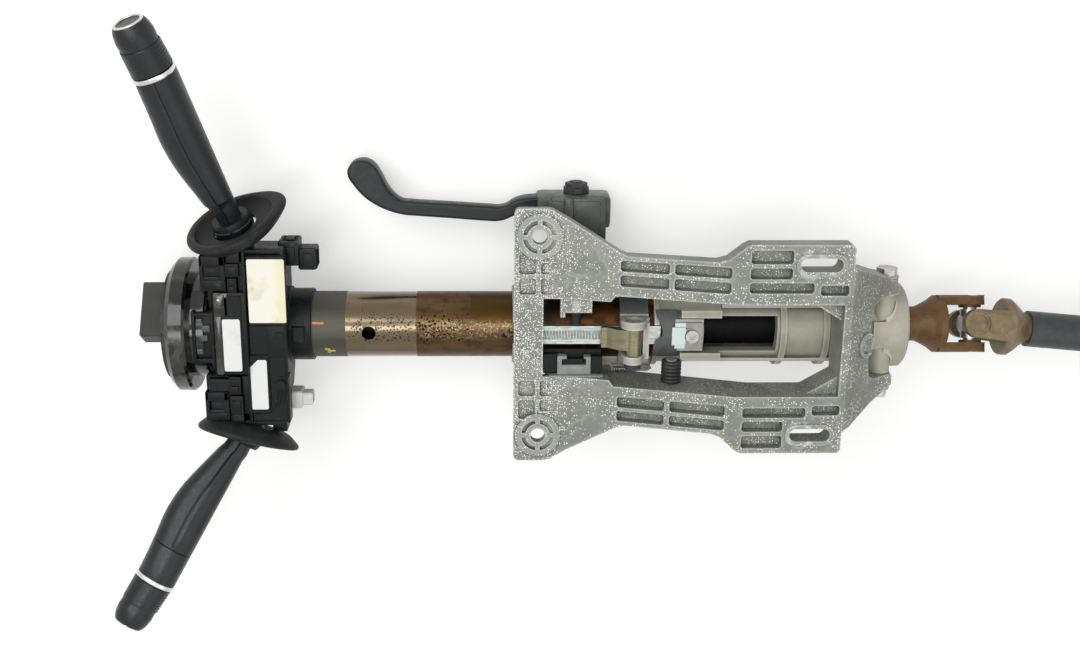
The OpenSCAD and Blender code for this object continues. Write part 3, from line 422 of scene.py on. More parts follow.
def paper(name, colour, stain, yellowed=None):
    """Label stock with faint stains; beyond the place given in X it has yellowed."""
    look = Look(name, colour, 0.55, specular=0.3)
    blot = look.noise(14, 5)
    fibre = look.noise(0.6, 3)
    tone = look.over(colour, look.span(blot, 0.52, 0.75), 0.5, stain)
    if yellowed:
        ragged = look.sums("ADD", look.axis(look.place, "X"), look.times(look.noise(7, 3), 4 * MM))
        aged = look.span(ragged, (yellowed - 3) * MM, (yellowed + 3) * MM)
        tone = look.over(tone, aged, 0.75, srgb(228, 222, 182))
    look.colour(tone)
    look.bump(fibre, 0.03, 0.4)
    look.bump(blot, 0.3, 0.2)
    return look.material


BRACKET = cast_metal("cast_bracket", srgb(124, 127, 117), srgb(146, 148, 137), 0.55, salted=True)
HOUSING = cast_metal("cast_housing", srgb(154, 152, 137), srgb(172, 169, 153), 0.15)
PAWL_CASTING = cast_metal("cast_pawl_bracket", srgb(166, 164, 153), srgb(188, 186, 174), 0.35,
                          shaded=(14, 60))
STOP = pale_nosed()
TUBE = rusted_tube()
PLASTIC = moulded("black_plastic", srgb(9, 11, 12), srgb(18, 21, 22), 0.44, 0.19)
ROTOR = moulded("rotor_plastic", srgb(44, 44, 42), srgb(58, 57, 54), 0.5, 0.3)
STALK = moulded("stalk_plastic", srgb(19, 23, 25), srgb(26, 31, 33), 0.36, 0.34, grain=0.35, dust=0.1)
RUBBER = moulded("black_rubber", srgb(25, 27, 26), srgb(37, 39, 37), 0.5, 0.18, grain=0.8, dust=0.3)
LEVER = moulded("lever_plastic", srgb(16, 21, 22), srgb(22, 28, 29), 0.42, 0.32, grain=0.6, dust=0.08)
HUB = moulded("lever_hub", srgb(62, 65, 62), srgb(82, 85, 80), 0.36, 0.45, grain=0.9, dust=0.2)
GLOSS = glossy_black()
BORE_BLACK = moulded("bore_black", srgb(5, 6, 6), srgb(10, 11, 11), 0.6, 0.1, dust=0.05)
CHROME = plated("bright_chrome", srgb(196, 196, 192), srgb(222, 222, 218), 0.24, metal=1.0)
ZINC = plated("zinc_rack", srgb(156, 162, 156), srgb(190, 197, 191), 0.34, metal=0.75)
STEEL = plated("zinc_steel", srgb(152, 151, 143), srgb(184, 182, 173), 0.36)
SHAFT = spindle()
SPINDLE = plated("spindle_steel", srgb(150, 150, 150), srgb(180, 180, 178), 0.34)
OLIVE = plated("olive_plating", srgb(116, 112, 86), srgb(132, 128, 100), 0.3, metal=0.8, grain=2.5)
DARK_STEEL = weathered("dark_steel", srgb(44, 45, 46), srgb(62, 63, 64), srgb(96, 92, 86), 0.5)
SLOT_GREY = weathered("slot_plate_grey", srgb(74, 76, 76), srgb(86, 88, 88), srgb(104, 104, 102), 0.5, 0.1)
CLIP_GREY = weathered("clip_grey", srgb(120, 124, 120), srgb(142, 146, 142), srgb(176, 177, 172), 0.55, 0.2)
BROWN = weathered("brown_forging", srgb(84, 60, 34), srgb(103, 77, 46), srgb(62, 42, 26), 0.48)
TAN = weathered("tan_forging", srgb(108, 94, 70), srgb(132, 116, 90), srgb(80, 66, 50), 0.46)
SLATE = weathered("slate_paint", srgb(48, 52, 52), srgb(60, 64, 63), srgb(80, 82, 80), 0.42, 0.0)
WHITE = moulded("white_plastic", srgb(206, 206, 198), srgb(224, 224, 216), 0.45, dust=0.2)

FINISH = {
    BRACKET: ["mounting_bracket"],
    HOUSING: ["guide_housing", "guide_bush", "end_bush"],
    PAWL_CASTING: ["pawl_bracket"],
    STOP: ["travel_stop"],
    STEEL: ["rake_pivot_bolts", "stop_screw", "pinch_bolt"],
    SHAFT: ["upper_spindle"],
    SPINDLE: ["lower_spindle", "slip_shaft", "upper_cross", "lower_cross", "upper_bearing_outer",
              "upper_bearing_inner", "lower_bearing_outer", "lower_bearing_inner"],
    RUBBER: ["rake_stop_pin", "left_boot", "right_boot"],
    DARK_STEEL: ["balance_spring", "fixed_cam", "lever_cam", "pawl_pin", "clamp_bolt", "clamp_nut"],
    SLOT_GREY: ["slot_plate"],
    CLIP_GREY: ["harness_clip"],
    PLASTIC: ["clip_insert", "tube_collar", "switch_carrier", "angle_sensor", "left_switch_box",
              "right_switch_box", "harness_connector", "module_cover", "module_screws", "left_gimbal",
              "right_gimbal"],
    ROTOR: ["clock_spring_rotor"],
    STALK: ["left_stalk", "left_knob", "left_button", "right_stalk", "right_knob", "right_button"],
    LEVER: ["clamp_lever"],
    GLOSS: ["clock_spring_housing"],
    BORE_BLACK: ["spindle_sleeve"],
    WHITE: ["white_connector"],
    OLIVE: ["lock_pawl"],
    TUBE: ["jacket_tube"],
    ZINC: ["rack_strip"],
    BROWN: ["upper_yoke"],
    TAN: ["shaft_yoke"],
    SLATE: ["shaft_tube", "slip_yoke", "pinch_yoke"],
}
for finish, names in FINISH.items():
    for name in names:
        nodes[name].data.materials.clear()
        nodes[name].data.materials.append(finish)


# Rounded edges on CAD nodes, as modifiers over their own meshes

def soften(name, width, segments=2):
    piece = nodes[name]
    weld = piece.modifiers.new("weld", "WELD")
    weld.merge_threshold = 0.002 * MM
    flat = piece.modifiers.new("flat", "DECIMATE")
    flat.decimate_type = "DISSOLVE"
    flat.angle_limit = math.radians(0.3)
    edges = piece.modifiers.new("edges", "BEVEL")
    edges.width = width * MM
    edges.segments = segments
    edges.limit_method = "ANGLE"
    edges.angle_limit = math.radians(32)
    edges.harden_normals = False
    normals = piece.modifiers.new("normals", "WEIGHTED_NORMAL")
    normals.keep_sharp = False
    normals.weight = 60


EDGE_ROUNDING = {
    0.7: ["mounting_bracket"],
    0.5: ["guide_housing", "pawl_bracket", "switch_carrier", "module_cover", "angle_sensor",
          "left_switch_box", "right_switch_box", "harness_connector", "tube_collar", "clock_spring_rotor",
          "clip_insert"],
    0.35: ["harness_clip", "travel_stop", "white_connector", "lock_pawl", "rack_strip", "rake_pivot_bolts",
           "clamp_bolt", "clamp_nut", "pinch_bolt", "fixed_cam"],
    0.6: ["upper_yoke", "shaft_yoke", "slip_yoke", "pinch_yoke"],
}
for width, names in EDGE_ROUNDING.items():
    for name in names:
        soften(name, width)


# Mesh helpers

def new_piece(name, body, finish, mesh, crease=35):
    """Turns a bmesh whose points are in millimetres into a piece that rides on a body."""
    bmesh.ops.scale(mesh, vec=(MM, MM, MM), verts=mesh.verts)
    bmesh.ops.recalc_face_normals(mesh, faces=mesh.faces)
    data = bpy.data.meshes.new(name)
    mesh.to_mesh(data)
    mesh.free()
    data.shade_smooth()
    data.set_sharp_from_angle(angle=math.radians(crease))
    data.materials.append(finish)
    piece = bpy.data.objects.new(name, data)
    bpy.context.scene.collection.objects.link(piece)
    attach(piece, body)
    return piece


def add_box(mesh, x, y, z, edge=0.5):
    """A block between the two ends given for each axis, with rounded edges."""
    made = bmesh.ops.create_cube(mesh, size=1.0)
    corners = made["verts"]
    size = Vector((x[1] - x[0], y[1] - y[0], z[1] - z[0]))
    middle = Vector((x[0] + x[1], y[0] + y[1], z[0] + z[1])) / 2
    for corner in corners:
        corner.co = Vector(a * b for a, b in zip(corner.co, size)) + middle
    edges = list({line for corner in corners for line in corner.link_edges})
    room = 0.45 * min(size)
    bmesh.ops.bevel(mesh, geom=edges, offset=min(edge, room), segments=2, profile=0.6, affect="EDGES")


def add_loft(mesh, rings, capped=True):
    """Skins a row of closed rings that have the same number of points."""
    rows = [[mesh.verts.new(point) for point in ring] for ring in rings]
    count = len(rows[0])
    for low, high in zip(rows, rows[1:]):
        for i in range(count):
            j = (i + 1) % count
            mesh.faces.new((low[i], low[j], high[j], high[i]))
    if capped:
        mesh.faces.new(rows[0])
        mesh.faces.new(rows[-1])
    return rows


def circle(count):
    """Angles at even steps round a circle."""
    return [2 * math.pi * i / count for i in range(count)]


def spoke(first, second, angle):
    """The way at an angle from the first of two ways towards the second."""
    return first * math.cos(angle) + second * math.sin(angle)


def add_turned(mesh, profile, centre, axis, steps=72, swell=None):
    """Turns a profile of (radius, distance) points about an axis; swell alters the radius with the angle."""
    along = Vector(axis).normalized()
    side = along.orthogonal().normalized()
    other = along.cross(side)
    rings = []
    for radius, distance in profile:
        ring = []
        for angle in circle(steps):
            way = spoke(side, other, angle)
            stretch = swell(way, radius) if swell else 1.0
            ring.append(Vector(centre) + along * distance + way * (radius * stretch))
        rings.append(ring)
    return add_loft(mesh, rings)


def smooth_path(points, steps, closed=False):
    """Points on a smooth curve through the given ones, steady where their distances differ."""
    knots = [Vector(point) for point in points]
    count = len(knots)
    spans = count if closed else count - 1
    lengths = [(knots[(i + 1) % count] - knots[i]).length for i in range(spans)]
    ways = [(knots[(i + 1) % count] - knots[i]) / lengths[i] for i in range(spans)]
    leans = []
    for i in range(count):
        if closed or 0 < i < spans:
            before, after = (i - 1) % spans, i % spans
            mean = ways[before] * lengths[after] + ways[after] * lengths[before]
            leans.append(mean / (lengths[before] + lengths[after]))
        else:
            leans.append(ways[0] if i == 0 else ways[-1])
    path = []
    for i in range(spans):
        j = (i + 1) % count
        for k in range(steps):
            t = k / steps
            start = knots[i] * (1 - 3 * t ** 2 + 2 * t ** 3)
            leaving = leans[i] * lengths[i] * (t - 2 * t ** 2 + t ** 3)
            end = knots[j] * (3 * t ** 2 - 2 * t ** 3)
            arriving = leans[j] * lengths[i] * (t ** 3 - t ** 2)
            path.append(start + leaving + end + arriving)
    if not closed:
        path.append(knots[-1])
    return path


def between(stations, place):
    """Value at a place in a table of (place, value), eased between its rows."""
    for (low, first), (high, second) in zip(stations, stations[1:]):
        if place <= high:
            t = max(0.0, (place - low) / (high - low))
            t = t * t * (3 - 2 * t)
            return first + (second - first) * t
    return stations[-1][1]


def smooth_pairs(pairs, steps):
    """Number pairs on a smooth line through the given ones."""
    return [(p.x, p.y) for p in smooth_path([(a, b, 0) for a, b in pairs], steps)]


def smooth_table(stations):
    """A function that follows a smooth line through a table of (place, value)."""
    path = smooth_pairs(stations, 8)

    def value(place):
        for (low, first), (high, second) in zip(path, path[1:]):
            if place <= high:
                return first + (second - first) * max(0.0, (place - low) / (high - low))
        return path[-1][1]

    return value


# Stalks: arm with a moulding seam, bright ring, ribbed knob and end cap with a bright tip

STALK_PIVOT = (64, 70, 18)
KNOB_AT = 111.4
KNOB_STEPS = 96
KNOB_RIBS = 8
CAP_AT = 128
CAP_TOP = CAP_AT + 14.6
ARM_END = 108.3
SLEEVE_AT = 86
ARM_PLACES = [0, 1.3, 1.5, 2, 3, 4, 4.8, 5.4, 6, 7, 9, 12, 16, 19.8, 20.2, 21, 26, 32, 39, 46, 52, 58, 66, 72,
              78, 84, 85.6, SLEEVE_AT, 86.4, 92, 98, 104, 106.5, ARM_END]
ARM_HALF_WIDTH = smooth_table([(0, 7.6), (10, 8.2), (27.4, 10.1), (51, 12.65), (68, 13.4), (82.6, 13.1),
                               (ARM_END, 12.75)])
ARM_HALF_DEPTH = smooth_table([(0, 7.4), (10, 7.8), (21, 8.8), (46, 10.6), (66, 11.8), (88, 12.4),
                               (106.5, 12.6), (ARM_END, 12.2)])
ARM_STRAIGHT = [(7, 7.4), (106.5, 12.9)]
DOME_RADIUS = {1: 13.4, -1: 10.2}
DOME_SQUASH = 2.1
DOME_FOOT = 1.4
SEAM_DEPTH = 0.7
GROOVE_DEPTH = 0.45
SHANK_PROFILE = [(6.0, -2), (6.2, -1), (6.2, 8)]
RING_STATIONS = [(108.2, 12.3), (108.4, 12.9), (109, 13.15), (110.5, 13.15), (111.1, 12.9), (111.3, 12.2)]


def stalk_axes(side, lean, rise):
    """Pivot of a stalk, the way that it points, the way across it and the way up from it."""
    tilt = math.radians(rise)
    swing = math.radians(lean)
    flat = math.cos(tilt)
    along = Vector((-math.sin(swing) * flat, side * math.cos(swing) * flat, math.sin(tilt)))
    up = (Vector((0, 0, 1)) - along * along.z).normalized()
    across = up.cross(along) * -side
    x, y, z = STALK_PIVOT
    return Vector((x, side * y, z)), along, across, up


def oval(centre, across, up, half_width, half_depth, seam=0.0, power=2.15):
    """Points of a rounded section; the two points beside the top and the top itself carry the seam."""
    angles = [math.radians(a) for a in list(range(-264, 84, 6)) + [86.5, 90, 93.5]]
    ring = []
    for angle in angles:
        c, s = math.cos(angle), math.sin(angle)
        x = math.copysign(abs(c) ** (2 / power), c) * half_width
        y = math.copysign(abs(s) ** (2 / power), s) * half_depth
        if abs(angle - math.pi / 2) < 0.001:
            y -= seam
        ring.append(centre + across * x + up * y)
    return ring


def arm_section(side, place):
    """Half width, half depth, sideways shift and seam of a stalk's arm at a place along it."""
    half_width = ARM_HALF_WIDTH(place)
    half_depth = ARM_HALF_DEPTH(place)
    if side < 0:
        half_width += 0.9 * math.sin(math.pi * min(1.0, place / 108)) ** 2
    elif place < 20:
        half_width -= 0.4
        half_depth -= 0.4
    (low, first), (high, last) = ARM_STRAIGHT
    straight = first + (last - first) * (place - low) / (high - low)
    shift = straight - half_width if place > 12 else 0.0
    dome = 0.0
    if place > DOME_FOOT:
        dome = math.sqrt(max(0.0, DOME_RADIUS[side] ** 2 - (DOME_SQUASH * place) ** 2))
    half_width = max(half_width, dome)
    half_depth = max(half_depth, dome)
    if side < 0 and place == SLEEVE_AT:
        half_width -= GROOVE_DEPTH
        half_depth -= GROOVE_DEPTH
    seam = SEAM_DEPTH if side > 0 or place < SLEEVE_AT else 0.0
    return half_width, half_depth, shift, seam


def stalk_arm(word, side, axes):
    pivot, along, across, up = axes
    mesh = bmesh.new()
    rings = []
    for place in ARM_PLACES:
        half_width, half_depth, shift, seam = arm_section(side, place)
        centre = pivot + along * place + across * shift
        rings.append(oval(centre, across, up, half_width, half_depth, seam))
    add_loft(mesh, rings)
    # Shank that enters the ball
    add_turned(mesh, SHANK_PROFILE, pivot, along, 48)
    piece = new_piece(word + "_stalk_arm", word + "_arm", STALK, mesh, 40)
    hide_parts(word + "_stalk")
    ring = bmesh.new()
    add_loft(ring, [oval(pivot + along * place, across, up, half, half - 0.2)
                    for place, half in RING_STATIONS])
    new_piece(word + "_stalk_ring", word + "_arm", CHROME, ring, 30)


def stalk_knob(word, axes):
    """Rotary knob: smooth towards the driver, with cross ribs on the far side."""
    pivot, along, across, up = axes
    mesh = bmesh.new()
    rings = []
    start, end = KNOB_AT + 0.2, CAP_AT - 0.3
    count = 60
    for i in range(count + 1):
        share = i / count
        place = start + (end - start) * i / count
        radius = 12.7 - 0.5 * share
        radius -= 0.5 * (1 - min(1, i / 2)) + 0.15 * (1 - min(1, (count - i) / 2))
        rib = 0.6 * (0.5 - 0.5 * math.cos(2 * math.pi * KNOB_RIBS * share)) - 0.3
        ring = []
        for angle in circle(KNOB_STEPS):
            facing = math.cos(angle + 0.5)
            gripped = facing ** 0.5 if facing > 0.45 and 0.06 < share < 0.94 else 0.0
            ring.append(pivot + along * place + spoke(across, up, angle) * (radius + gripped * rib))
        rings.append(ring)
    # Open end that the cap slides into
    for radius, place in ((11.95, end), (11.9, end - 6)):
        centre = pivot + along * place
        rings.append([centre + spoke(across, up, angle) * radius for angle in circle(KNOB_STEPS)])
    add_loft(mesh, rings)
    piece = new_piece(word + "_ribbed_knob", word + "_dial", STALK, mesh, 40)
    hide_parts(word + "_knob")


def stalk_cap(word, axes):
    pivot, along = axes[:2]
    foot = [(9, -2.8), (11.4, -2.8), (11.6, -2.2), (11.66, -0.2)]
    side = smooth_pairs([(11.72, 2), (11.9, 4.2), (11.6, 7.5), (10.8, 11), (9.8, 13.2), (9.2, 14.1)], 4)
    profile = [(radius, CAP_AT + place) for radius, place in foot + side]
    profile += [(7.6, CAP_TOP - 0.3), (7.2, CAP_TOP - 0.6), (2, CAP_TOP - 0.4)]
    mesh = bmesh.new()
    add_turned(mesh, profile, pivot, along)
    piece = new_piece(word + "_end_cap", word + "_push", STALK, mesh, 40)
    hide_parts(word + "_button")
    rim = [(7.3, -1.2), (9.35, -1.2), (9.3, -0.5), (8.8, 0), (8.0, 0.1), (7.5, -0.2), (7.3, -0.6)]
    tip = bmesh.new()
    add_turned(tip, [(radius, CAP_TOP + place) for radius, place in rim], pivot, along)
    new_piece(word + "_bright_tip", word + "_push", CHROME, tip, 30)


STALK_RISE = 19
for word, side, lean in (("left", 1, 19), ("right", -1, 33)):
    axes = stalk_axes(side, lean, STALK_RISE)
    stalk_arm(word, side, axes)
    stalk_knob(word, axes)
    stalk_cap(word, axes)


# Boots: rubber dishes with a thick lip that runs out to a corner on the far side

BOOT_PROFILE = [(14.4, -4.2), (17, -7.0), (22, -7.4), (26.4, -5), (29, -2), (30.4, 0), (30.6, 1.6), (30, 2.8),
                (28.6, 3.4), (26.4, 3.5), (25.2, 3.0), (24.6, 1.8), (23.2, -0.2), (21, -1.5), (17.6, -1.8),
                (14.6, -1.2)]


def boot(word, axes):
    pivot, along, across, up = axes
    corner = (across - up * 0.3).normalized()

    def swell(way, radius):
        point = max(0.0, way.dot(corner)) ** 6
        return 1.0 + 0.18 * point * max(0.0, (radius - 20) / 10)

    mesh = bmesh.new()
    rows = add_turned(mesh, smooth_pairs(BOOT_PROFILE, 3), pivot, along, 120, swell)
    caps = [face for face in mesh.faces if len(face.verts) > 4]
    bmesh.ops.delete(mesh, geom=caps, context="FACES_ONLY")
    first, last = rows[0], rows[-1]
    for i in range(len(first)):
        j = (i + 1) % len(first)
        mesh.faces.new((last[i], last[j], first[j], first[i]))
    piece = new_piece(word + "_rubber_boot", "jacket", RUBBER, mesh, 60)
    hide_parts(word + "_boot")


boot("left", stalk_axes(1, 20, STALK_RISE))
boot("right", stalk_axes(-1, 15.5, STALK_RISE))


# Clamp lever: hub box with a rib, stepped arm and rounded paddle

LEVER_OUTLINE = [(268, 80.6), (255.4, 80.4), (245.2, 79.2), (239.5, 77.2), (235.6, 74.6), (231, 73.4),
                 (225, 73.7), (199.3, 75.3), (173, 76.9), (167, 77.5), (162.6, 80.2), (157.6, 86),
                 (153.4, 94.2), (149.8, 100), (146.1, 103), (140.4, 104.1), (135.4, 102.5), (131.7, 97.7),
                 (132, 93.3), (135.6, 87.5), (142.3, 79.8), (150.4, 74.2), (159.8, 69.9), (168.7, 67.6),
                 (174, 67.2), (199.3, 65.5), (223, 63.8), (229, 63.6), (234.2, 64.7), (238.7, 66.8),
                 (243.6, 69), (268, 69)]
LEVER_HALF_HEIGHT = [(150, 8), (168, 6.2), (230, 6.2), (250, 8)]
LEVER_EDGE = 1.8
LEVER_Z = -28


def grown(outline, amount):
    """Moves each point of an outline that runs anticlockwise in X and Y along its own normal."""
    count = len(outline)
    moved = []
    for i in range(count):
        way = (outline[(i + 1) % count] - outline[i - 1]).normalized()
        moved.append(outline[i] + Vector((way.y, -way.x, 0)) * amount)
    return moved


def clamp_lever():
    mesh = bmesh.new()
    outline = smooth_path([(x, y, 0) for x, y in LEVER_OUTLINE], 5, closed=True)
    layers = []
    for degrees in (-90, -80, -60, -40, -20, 0, 20, 40, 60, 80, 90):
        angle = math.radians(degrees)
        inset = LEVER_EDGE * (1 - math.cos(angle))
        ring = []
        for point in grown(outline, -inset):
            half = between(LEVER_HALF_HEIGHT, point.x)
            height = math.copysign(half - LEVER_EDGE, angle) if degrees else 0.0
            ring.append(Vector((point.x, point.y, LEVER_Z + height + LEVER_EDGE * math.sin(angle))))
        layers.append(ring)
    inner = grown(outline, -LEVER_EDGE - 0.4)
    lowest = [Vector((p.x, p.y, q.z)) for p, q in zip(inner, layers[0])]
    highest = [Vector((p.x, p.y, q.z)) for p, q in zip(inner, layers[-1])]
    add_loft(mesh, [lowest] + layers + [highest])
    piece = new_piece("moulded_lever", "lever", LEVER, mesh, 50)
    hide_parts("clamp_lever")
    hub = bmesh.new()
    add_box(hub, (255, 304), (60, 82), (-42, -17), 3.5)
    add_box(hub, (264, 301), (50.5, 81), (-43.5, -15), 2.5)
    add_box(hub, (273, 279), (53, 81.4), (-18, -12.2), 1.6)
    add_box(hub, (262, 273.4), (55, 79), (-17, -14.2), 1)
    add_box(hub, (278.6, 297), (55, 79), (-17, -14.2), 1)
    new_piece("lever_hub", "lever", HUB, hub, 50)


clamp_lever()


# Waisted plate that bridges the rack behind the pawl

PLATE_LEFT = [(-15, 330), (-4.5, 330.4), (0.5, 335.1), (3, 335.1), (14.5, 330.8), (16, 330.4)]
PLATE_RIGHT = [(-15, 345), (-4.5, 344.6), (0.5, 340.8), (3, 340.8), (14.5, 344.6), (16, 344.9)]
PLATE_UNDERSIDE = 26.6
PLATE_TOP = 27.7


def waisted_plate():
    mesh = bmesh.new()
    rings = []
    for i in range(63):
        y = -15 + i / 2
        left, right = between(PLATE_LEFT, y), between(PLATE_RIGHT, y)
        low, high = (math.sqrt(radius ** 2 - y * y) for radius in (PLATE_UNDERSIDE, PLATE_TOP))
        rings.append([(left, y, low), (right, y, low), (right, y, high), (left, y, high)])
    add_loft(mesh, rings)
    new_piece("waisted_plate", "column", SLOT_GREY, mesh, 40)


waisted_plate()


# Return spring of the pawl, on a thin plate beside the housing

SPRING_PLATE = [(304, -24.4), (330, -25.2), (331, -27.6), (328, -29.4), (304, -29.4)]


def add_coil(mesh, start, end, radius, turns, wire):
    """A coil of round wire between two points that lie along X."""
    rings = []
    steps = turns * 14
    for i in range(steps + 1):
        out = spoke(Vector((0, 1, 0)), Vector((0, 0, 1)), 2 * math.pi * i / 14)
        centre = Vector(start).lerp(Vector(end), i / steps) + out * radius
        rings.append([centre + spoke(out, Vector((1, 0, 0)), angle) * wire for angle in circle(8)])
    add_loft(mesh, rings)


def spring_plate():
    mesh = bmesh.new()
    add_loft(mesh, [[(x, y, z) for x, y in SPRING_PLATE] for z in (9.4, 11)])
    new_piece("spring_plate", "column", CLIP_GREY, mesh)
    coil = bmesh.new()
    add_coil(coil, (306, -27.4, 12.4), (321, -27.4, 12.4), 1.4, 11, 0.4)
    new_piece("pawl_return_spring", "column", STEEL, coil, 60)


spring_plate()


# Switch module: latches, wiring column, sensor strip, contacts, labels and connectors

def boxes(name, body, finish, rows, edge=0.5):
    mesh = bmesh.new()
    for x, y, z in rows:
        add_box(mesh, x, y, z, edge)
    return new_piece(name, body, finish, mesh, 40)


def latch(name, side):
    """Frame with a window and a sprung tongue in it, on one switch box."""
    if side > 0:
        x0, x1, y0, y1 = 44.8, 60.6, 31.9, 54.3
        u0, u1, v0, v1 = 47, 56.4, 41.2, 47.6
    else:
        x0, x1, y0, y1 = 43.5, 58.5, -53.5, -34.5
        u0, u1, v0, v1 = 46, 55, -46.5, -40.5
    low, high = 30.5, 36.6
    rows = [((x0, u0), (y0, y1), (low, high)), ((u1, x1), (y0, y1), (low, high)),
            ((x0, x1), (y0, v0), (low, high - 0.6)), ((x0, x1), (v1, y1), (low, high)),
            ((u0 + 1.4, u1 - 1.4), (v0 - 1, v1 - 1.6), (low, high - 1.4)),
            ((x0 + 1.5, x1 - 1.5), (y0 + 1.5, v0 - 2), (high - 1, high + 0.5))]
    boxes(name, "jacket", PLASTIC, rows, 0.7)


latch("left_latch", 1)
latch("right_latch", -1)
boxes("left_wiring_column", "jacket", PLASTIC, [
    ((61.7, 69.8), (50.2, 57.8), (28, 37.5)), ((61, 69.2), (41.6, 49.9), (30, 38.6)),
    ((62.2, 68), (43, 48.4), (38, 39.6)), ((61.7, 67.3), (30.6, 40.3), (30, 37.2)),
    ((62.6, 66.2), (32.4, 35.4), (37, 38.6)), ((62.6, 66.2), (36.2, 39.2), (37, 38.2)),
    ((68.2, 71.6), (30, 50), (29, 35))])
boxes("right_wiring_column", "jacket", PLASTIC, [
    ((58.7, 66.8), (-61.6, -50), (26, 34)), ((59.4, 67.4), (-49.6, -37), (29, 37.2)),
    ((60.4, 66), (-47, -40), (37, 38.4)), ((58.9, 66.4), (-36.4, -24.6), (29, 36)),
    ((60, 65), (-34, -30.6), (35.6, 37.2)), ((60, 65), (-29.4, -26), (35.6, 37)),
    ((67.2, 71.6), (-50, -24.6), (28, 34))])
boxes("sensor_strip", "jacket", GLOSS, [
    ((52.6, 57.2), (-22, 16.4), (35.5, 38.9)), ((52.6, 61.8), (16, 31.3), (35.5, 38.4)),
    ((53.4, 59.6), (16.6, 30.4), (37.8, 39.3))], 0.9)
boxes("sensor_dot", "jacket", WHITE, [((55.2, 56.6), (26.5, 27.9), (38.9, 39.6))], 0.3)
boxes("sensor_body", "jacket", PLASTIC, [((52.4, 72.6), (-22.3, 31.4), (33, 37.8))], 0.8)


def contacts():
    """Four dull metal contacts in a well between the disc and the sensor."""
    boxes("contact_pins", "jacket", SLOT_GREY, [
        ((40.2, 44), (10.4, 13.3), (31, 34)), ((43.5, 48.5), (4.8, 9), (31, 34)),
        ((42.3, 46.9), (-1.3, 2.5), (31, 34)), ((39.8, 43.3), (-9.9, -6.4), (31, 34))], 0.5)
    boxes("contact_deck", "jacket", PLASTIC, [
        ((37.5, 51.5), (-14, 16.5), (24, 32.4)), ((37.5, 39.6), (-16, 18), (24, 35)),
        ((49.4, 51.6), (-16, 18), (24, 35.4)), ((39, 50), (14.6, 17), (24, 34.4)),
        ((39, 50), (-15.8, -12.8), (24, 34.4))])


contacts()


def label(name, finish, x, y, z, clipped=0.8):
    """Blank sticker: a thin sheet with soft corners, one of which may be clipped."""
    mesh = bmesh.new()
    soft = 0.8
    outline = [(x[0] + soft, y[0]), (x[1] - soft, y[0]), (x[1], y[0] + soft), (x[1], y[1] - soft),
               (x[1] - soft, y[1]), (x[0] + clipped, y[1]), (x[0], y[1] - clipped), (x[0], y[0] + soft)]
    add_loft(mesh, [[(px, py, level) for px, py in outline] for level in (z, z + 0.18)])
    bmesh.ops.triangulate(mesh, faces=[face for face in mesh.faces if len(face.verts) > 4])
    new_piece(name, "jacket", finish, mesh, 20)


CREAM = paper("cream_label", srgb(232, 230, 218), srgb(190, 176, 120), yellowed=93.5)
PALE = paper("pale_label", srgb(222, 223, 220), srgb(190, 188, 178))
label("cover_label", CREAM, (74, 97), (11.5, 52.5), 36.4)
label("sensor_label", PALE, (57.4, 68.4), (-19.8, 14.4), 38.4)
label("lower_label", PALE, (72.6, 83.2), (-46.6, -13.4), 35.2, clipped=5)


def slanted_ribs():
    """Three thin ribs that run aslant over the lower wall of the cover."""
    mesh = bmesh.new()
    for i in range(3):
        start = Vector((86.5 + i * 2.6, -47 + i * 1.5, 33.4))
        end = start + Vector((5.5, 22, 0))
        way = (end - start).normalized()
        aside = Vector((way.y, -way.x, 0)) * 0.55
        rise = Vector((0, 0, 1.9))
        rings = [[start - aside, start + aside, start + aside * 0.6 + rise, start - aside * 0.6 + rise],
                 [end - aside, end + aside, end + aside * 0.6 + rise, end - aside * 0.6 + rise]]
        add_loft(mesh, rings)
    new_piece("slanted_ribs", "jacket", PLASTIC, mesh)


slanted_ribs()
boxes("harness_shrouds", "jacket", PLASTIC, [
    ((92.6, 104.2), (44.6, 60), (4, 22.4)), ((95, 102), (47.5, 57), (22, 24)),
    ((104, 114), (41.4, 54.6), (17.4, 20.2)), ((106.4, 113), (43.4, 52.4), (20, 21.6)),
    ((96, 101), (59.6, 61.4), (8, 18))], 0.8)
boxes("cover_rim", "jacket", PLASTIC, [
    ((70.8, 72.8), (-56, 57.6), (28, 36.2)), ((94.4, 96.6), (-56, 57.6), (24, 35)),
    ((72, 96), (55.6, 58.2), (24, 35)), ((67.4, 94), (-58.6, -55.2), (22, 33)),
    ((83.2, 92.6), (-66.4, -58.4), (10, 24)), ((83.6, 95.4), (-12, 10), (33.6, 35.2))], 0.8)


# Paint marks on the tube

ORANGE = paint("orange_paint", srgb(232, 108, 34))
YELLOW = paint("yellow_paint", srgb(204, 184, 50))
TUBE_RADIUS = 21.5


def brush_marks(name, body, finish, strokes, height):
    """Dabs of paint, each from a start to an end, on a surface given by its height at Y."""
    mesh = bmesh.new()
    for start, end, width in strokes:
        first, last = Vector((*start, 0)), Vector((*end, 0))
        way = (last - first).normalized()
        aside = Vector((-way.y, way.x, 0))
        rows = []
        for i in range(13):
            t = i / 12
            half = width / 2 * (1 - abs(2 * t - 1) ** 8) * (0.9 + 0.12 * math.sin(7 * t + width)) + 0.05
            row = []
            for k in range(5):
                flat = first.lerp(last, t) + aside * half * (k / 2 - 1)
                row.append(mesh.verts.new((flat.x, flat.y, height(flat.y) + 0.05)))
            rows.append(row)
        for low, high in zip(rows, rows[1:]):
            for k in range(4):
                mesh.faces.new((low[k], low[k + 1], high[k + 1], high[k]))
    new_piece(name, body, finish, mesh)


def tube_top(y):
    return math.sqrt(TUBE_RADIUS ** 2 - y * y)


